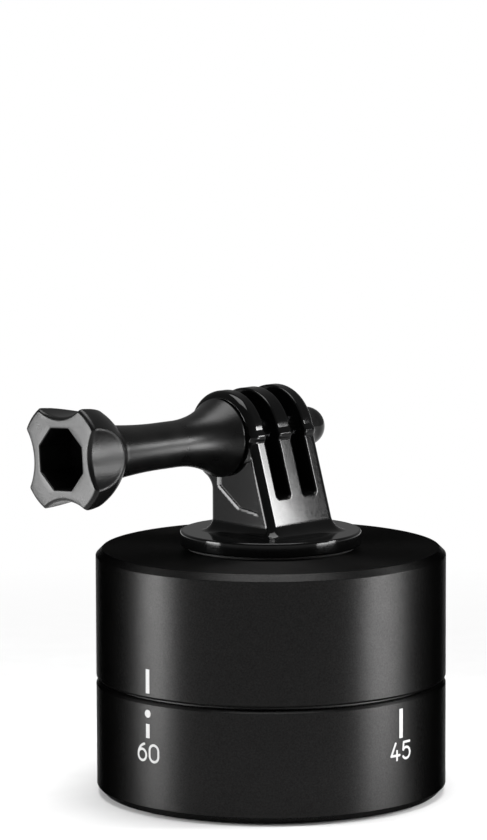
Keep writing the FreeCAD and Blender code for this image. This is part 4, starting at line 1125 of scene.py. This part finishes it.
# ---------------------------------------------------------------- stage
FLOOR_RINGS = (1, 50, 100, 200, 400, 1000, 5000)
FLOOR_NEAR = 110.0
FLOOR_FAR = 240.0
FLOOR_TONE = 0.86
FLOOR_MOTTLE = 0.02


def make_floor():
    """Pale floor: plain near the object, paper white further away."""
    count = 96
    rings = [ring_about_z(radius, 0, count) for radius in FLOOR_RINGS]
    points, faces = skin(rings, [(0, 0, 0), (0, 0, 0)])
    outer_pole = len(points) - 1
    faces = [face for face in faces if outer_pole not in face]
    floor = add_mesh("floor", points[:outer_pole], faces)
    floor.data.materials.append(floor_material())


def floor_material():
    """Paper that fades to plain white away from the object."""
    make = Nodes("floor_paper")
    make.colour(make.noise(8.0), grey(FLOOR_TONE - FLOOR_MOTTLE), grey(FLOOR_TONE))
    make.set(Roughness=0.9, IOR=1.3)
    away = make.add("ShaderNodeVectorMath", operation="LENGTH")
    make.link(make.place, away.inputs[0])
    far = make.ranged(away.outputs["Value"], 0, 1, FLOOR_NEAR * MM, FLOOR_FAR * MM)
    rays = make.add("ShaderNodeLightPath").outputs
    seen = rays["Is Camera Ray"]
    for kind in ("Is Glossy Ray", "Is Transmission Ray"):
        seen = make.combined("MAXIMUM", seen, rays[kind])
    white = make.add("ShaderNodeEmission")
    blend = make.add("ShaderNodeMixShader")
    make.link(make.combined("MULTIPLY", seen, far), blend.inputs[0])
    make.link(make.shader.outputs[0], blend.inputs[1])
    make.link(white.outputs[0], blend.inputs[2])
    make.link(blend.outputs[0], make.tree.nodes["Material Output"].inputs["Surface"])
    return make.material


# upright strip lamps: azimuth from the camera's side towards +X in degrees,
# distance from the drum's axis, width, lowest and highest point, brightness
STRIPS = (
    ("light_left", -74.5, 145, 52, 1, 76, 4.0),
    ("light_right", 71.5, 145, 70, 1, 50, 3.9),
    ("light_high", 84.5, 171, 30, 84, 120, 9.0),
)
STRIP_SPREAD = math.radians(70)
STRIP_TARGET = Vector((0, 0, 30.0))
OVERHEAD_HEIGHT = 900.0
OVERHEAD_SIZE = 620.0
OVERHEAD_LEVEL = 7.4
WORLD_LEVEL = 0.2


def add_lamp(name, place, facing, width, height, radiance, spread=math.pi):
    """A rectangular softbox; a narrow spread is a grid over its face."""
    lamp = bpy.data.lights.new(name, "AREA")
    lamp.shape = "RECTANGLE"
    lamp.size = width * MM
    lamp.size_y = height * MM
    lamp.energy = radiance * math.pi * lamp.size * lamp.size_y
    lamp.spread = spread
    thing = bpy.data.objects.new(name, lamp)
    thing.location = place * MM
    thing.rotation_euler = (-facing).to_track_quat("Z", "Y").to_euler()
    thing.visible_camera = False
    bpy.context.scene.collection.objects.link(thing)


def make_lights():
    """Two low strips and a high one at the sides, a large softbox overhead."""
    for name, azimuth, distance, width, low, high, radiance in STRIPS:
        turn = math.radians(azimuth)
        away = Vector((math.sin(turn), -math.cos(turn), 0))
        place = away * distance + Vector((0, 0, (low + high) / 2))
        facing = (STRIP_TARGET - place).normalized()
        add_lamp(name, place, facing, width, high - low, radiance, STRIP_SPREAD)
    add_lamp("light_top", Vector((0, 0, OVERHEAD_HEIGHT)), Vector((0, 0, -1)),
             OVERHEAD_SIZE, OVERHEAD_SIZE, OVERHEAD_LEVEL)
    world = bpy.data.worlds.new("studio")
    world.use_nodes = True
    background = world.node_tree.nodes["Background"]
    background.inputs["Color"].default_value = (*grey(WORLD_LEVEL), 1)
    bpy.context.scene.world = world


# the camera looks along +Y and down by its pitch; yaw and roll are the small
# turns that the photograph's camera has besides
CAMERA_DISTANCE = 802.7
CAMERA_PITCH = math.radians(7.6)
CAMERA_YAW = math.radians(-0.328)
CAMERA_ROLL = math.radians(-0.139)
AIM_HEIGHT = 64.2
IMAGE_HEIGHT = 840
FOCAL_PIXELS = 4705.0
SENSOR = 36.0
CLIP_END = 100.0


def make_camera():
    """A long lens from a little above the top of the object."""
    camera = bpy.data.cameras.new("camera")
    camera.sensor_width = SENSOR
    camera.lens = FOCAL_PIXELS * SENSOR / IMAGE_HEIGHT
    camera.clip_end = CLIP_END
    forward = Vector((0, math.cos(CAMERA_PITCH), -math.sin(CAMERA_PITCH)))
    right = Vector((1, 0, 0))
    up = right.cross(forward)
    place = Vector((0, 0, AIM_HEIGHT)) - forward * CAMERA_DISTANCE
    aimed = forward * math.cos(CAMERA_YAW) + right * math.sin(CAMERA_YAW)
    level = right * math.cos(CAMERA_YAW) - forward * math.sin(CAMERA_YAW)
    across = level * math.cos(CAMERA_ROLL) + up * math.sin(CAMERA_ROLL)
    above = up * math.cos(CAMERA_ROLL) - level * math.sin(CAMERA_ROLL)
    thing = bpy.data.objects.new("camera", camera)
    matrix = Matrix((across, above, -aimed)).transposed().to_4x4()
    matrix.translation = place * MM
    thing.matrix_world = matrix
    bpy.context.scene.collection.objects.link(thing)
    bpy.context.scene.camera = thing


make_camera()
dress_inner_nodes()
make_base_shell()
make_top_shell()
make_foot_pad()
make_washer()
make_bush()
make_case_screws()
make_marks()
make_adapter()
make_nut()
make_knob()
make_rod()
make_floor()
make_lights()
bpy.context.scene.view_settings.view_transform = "Standard"
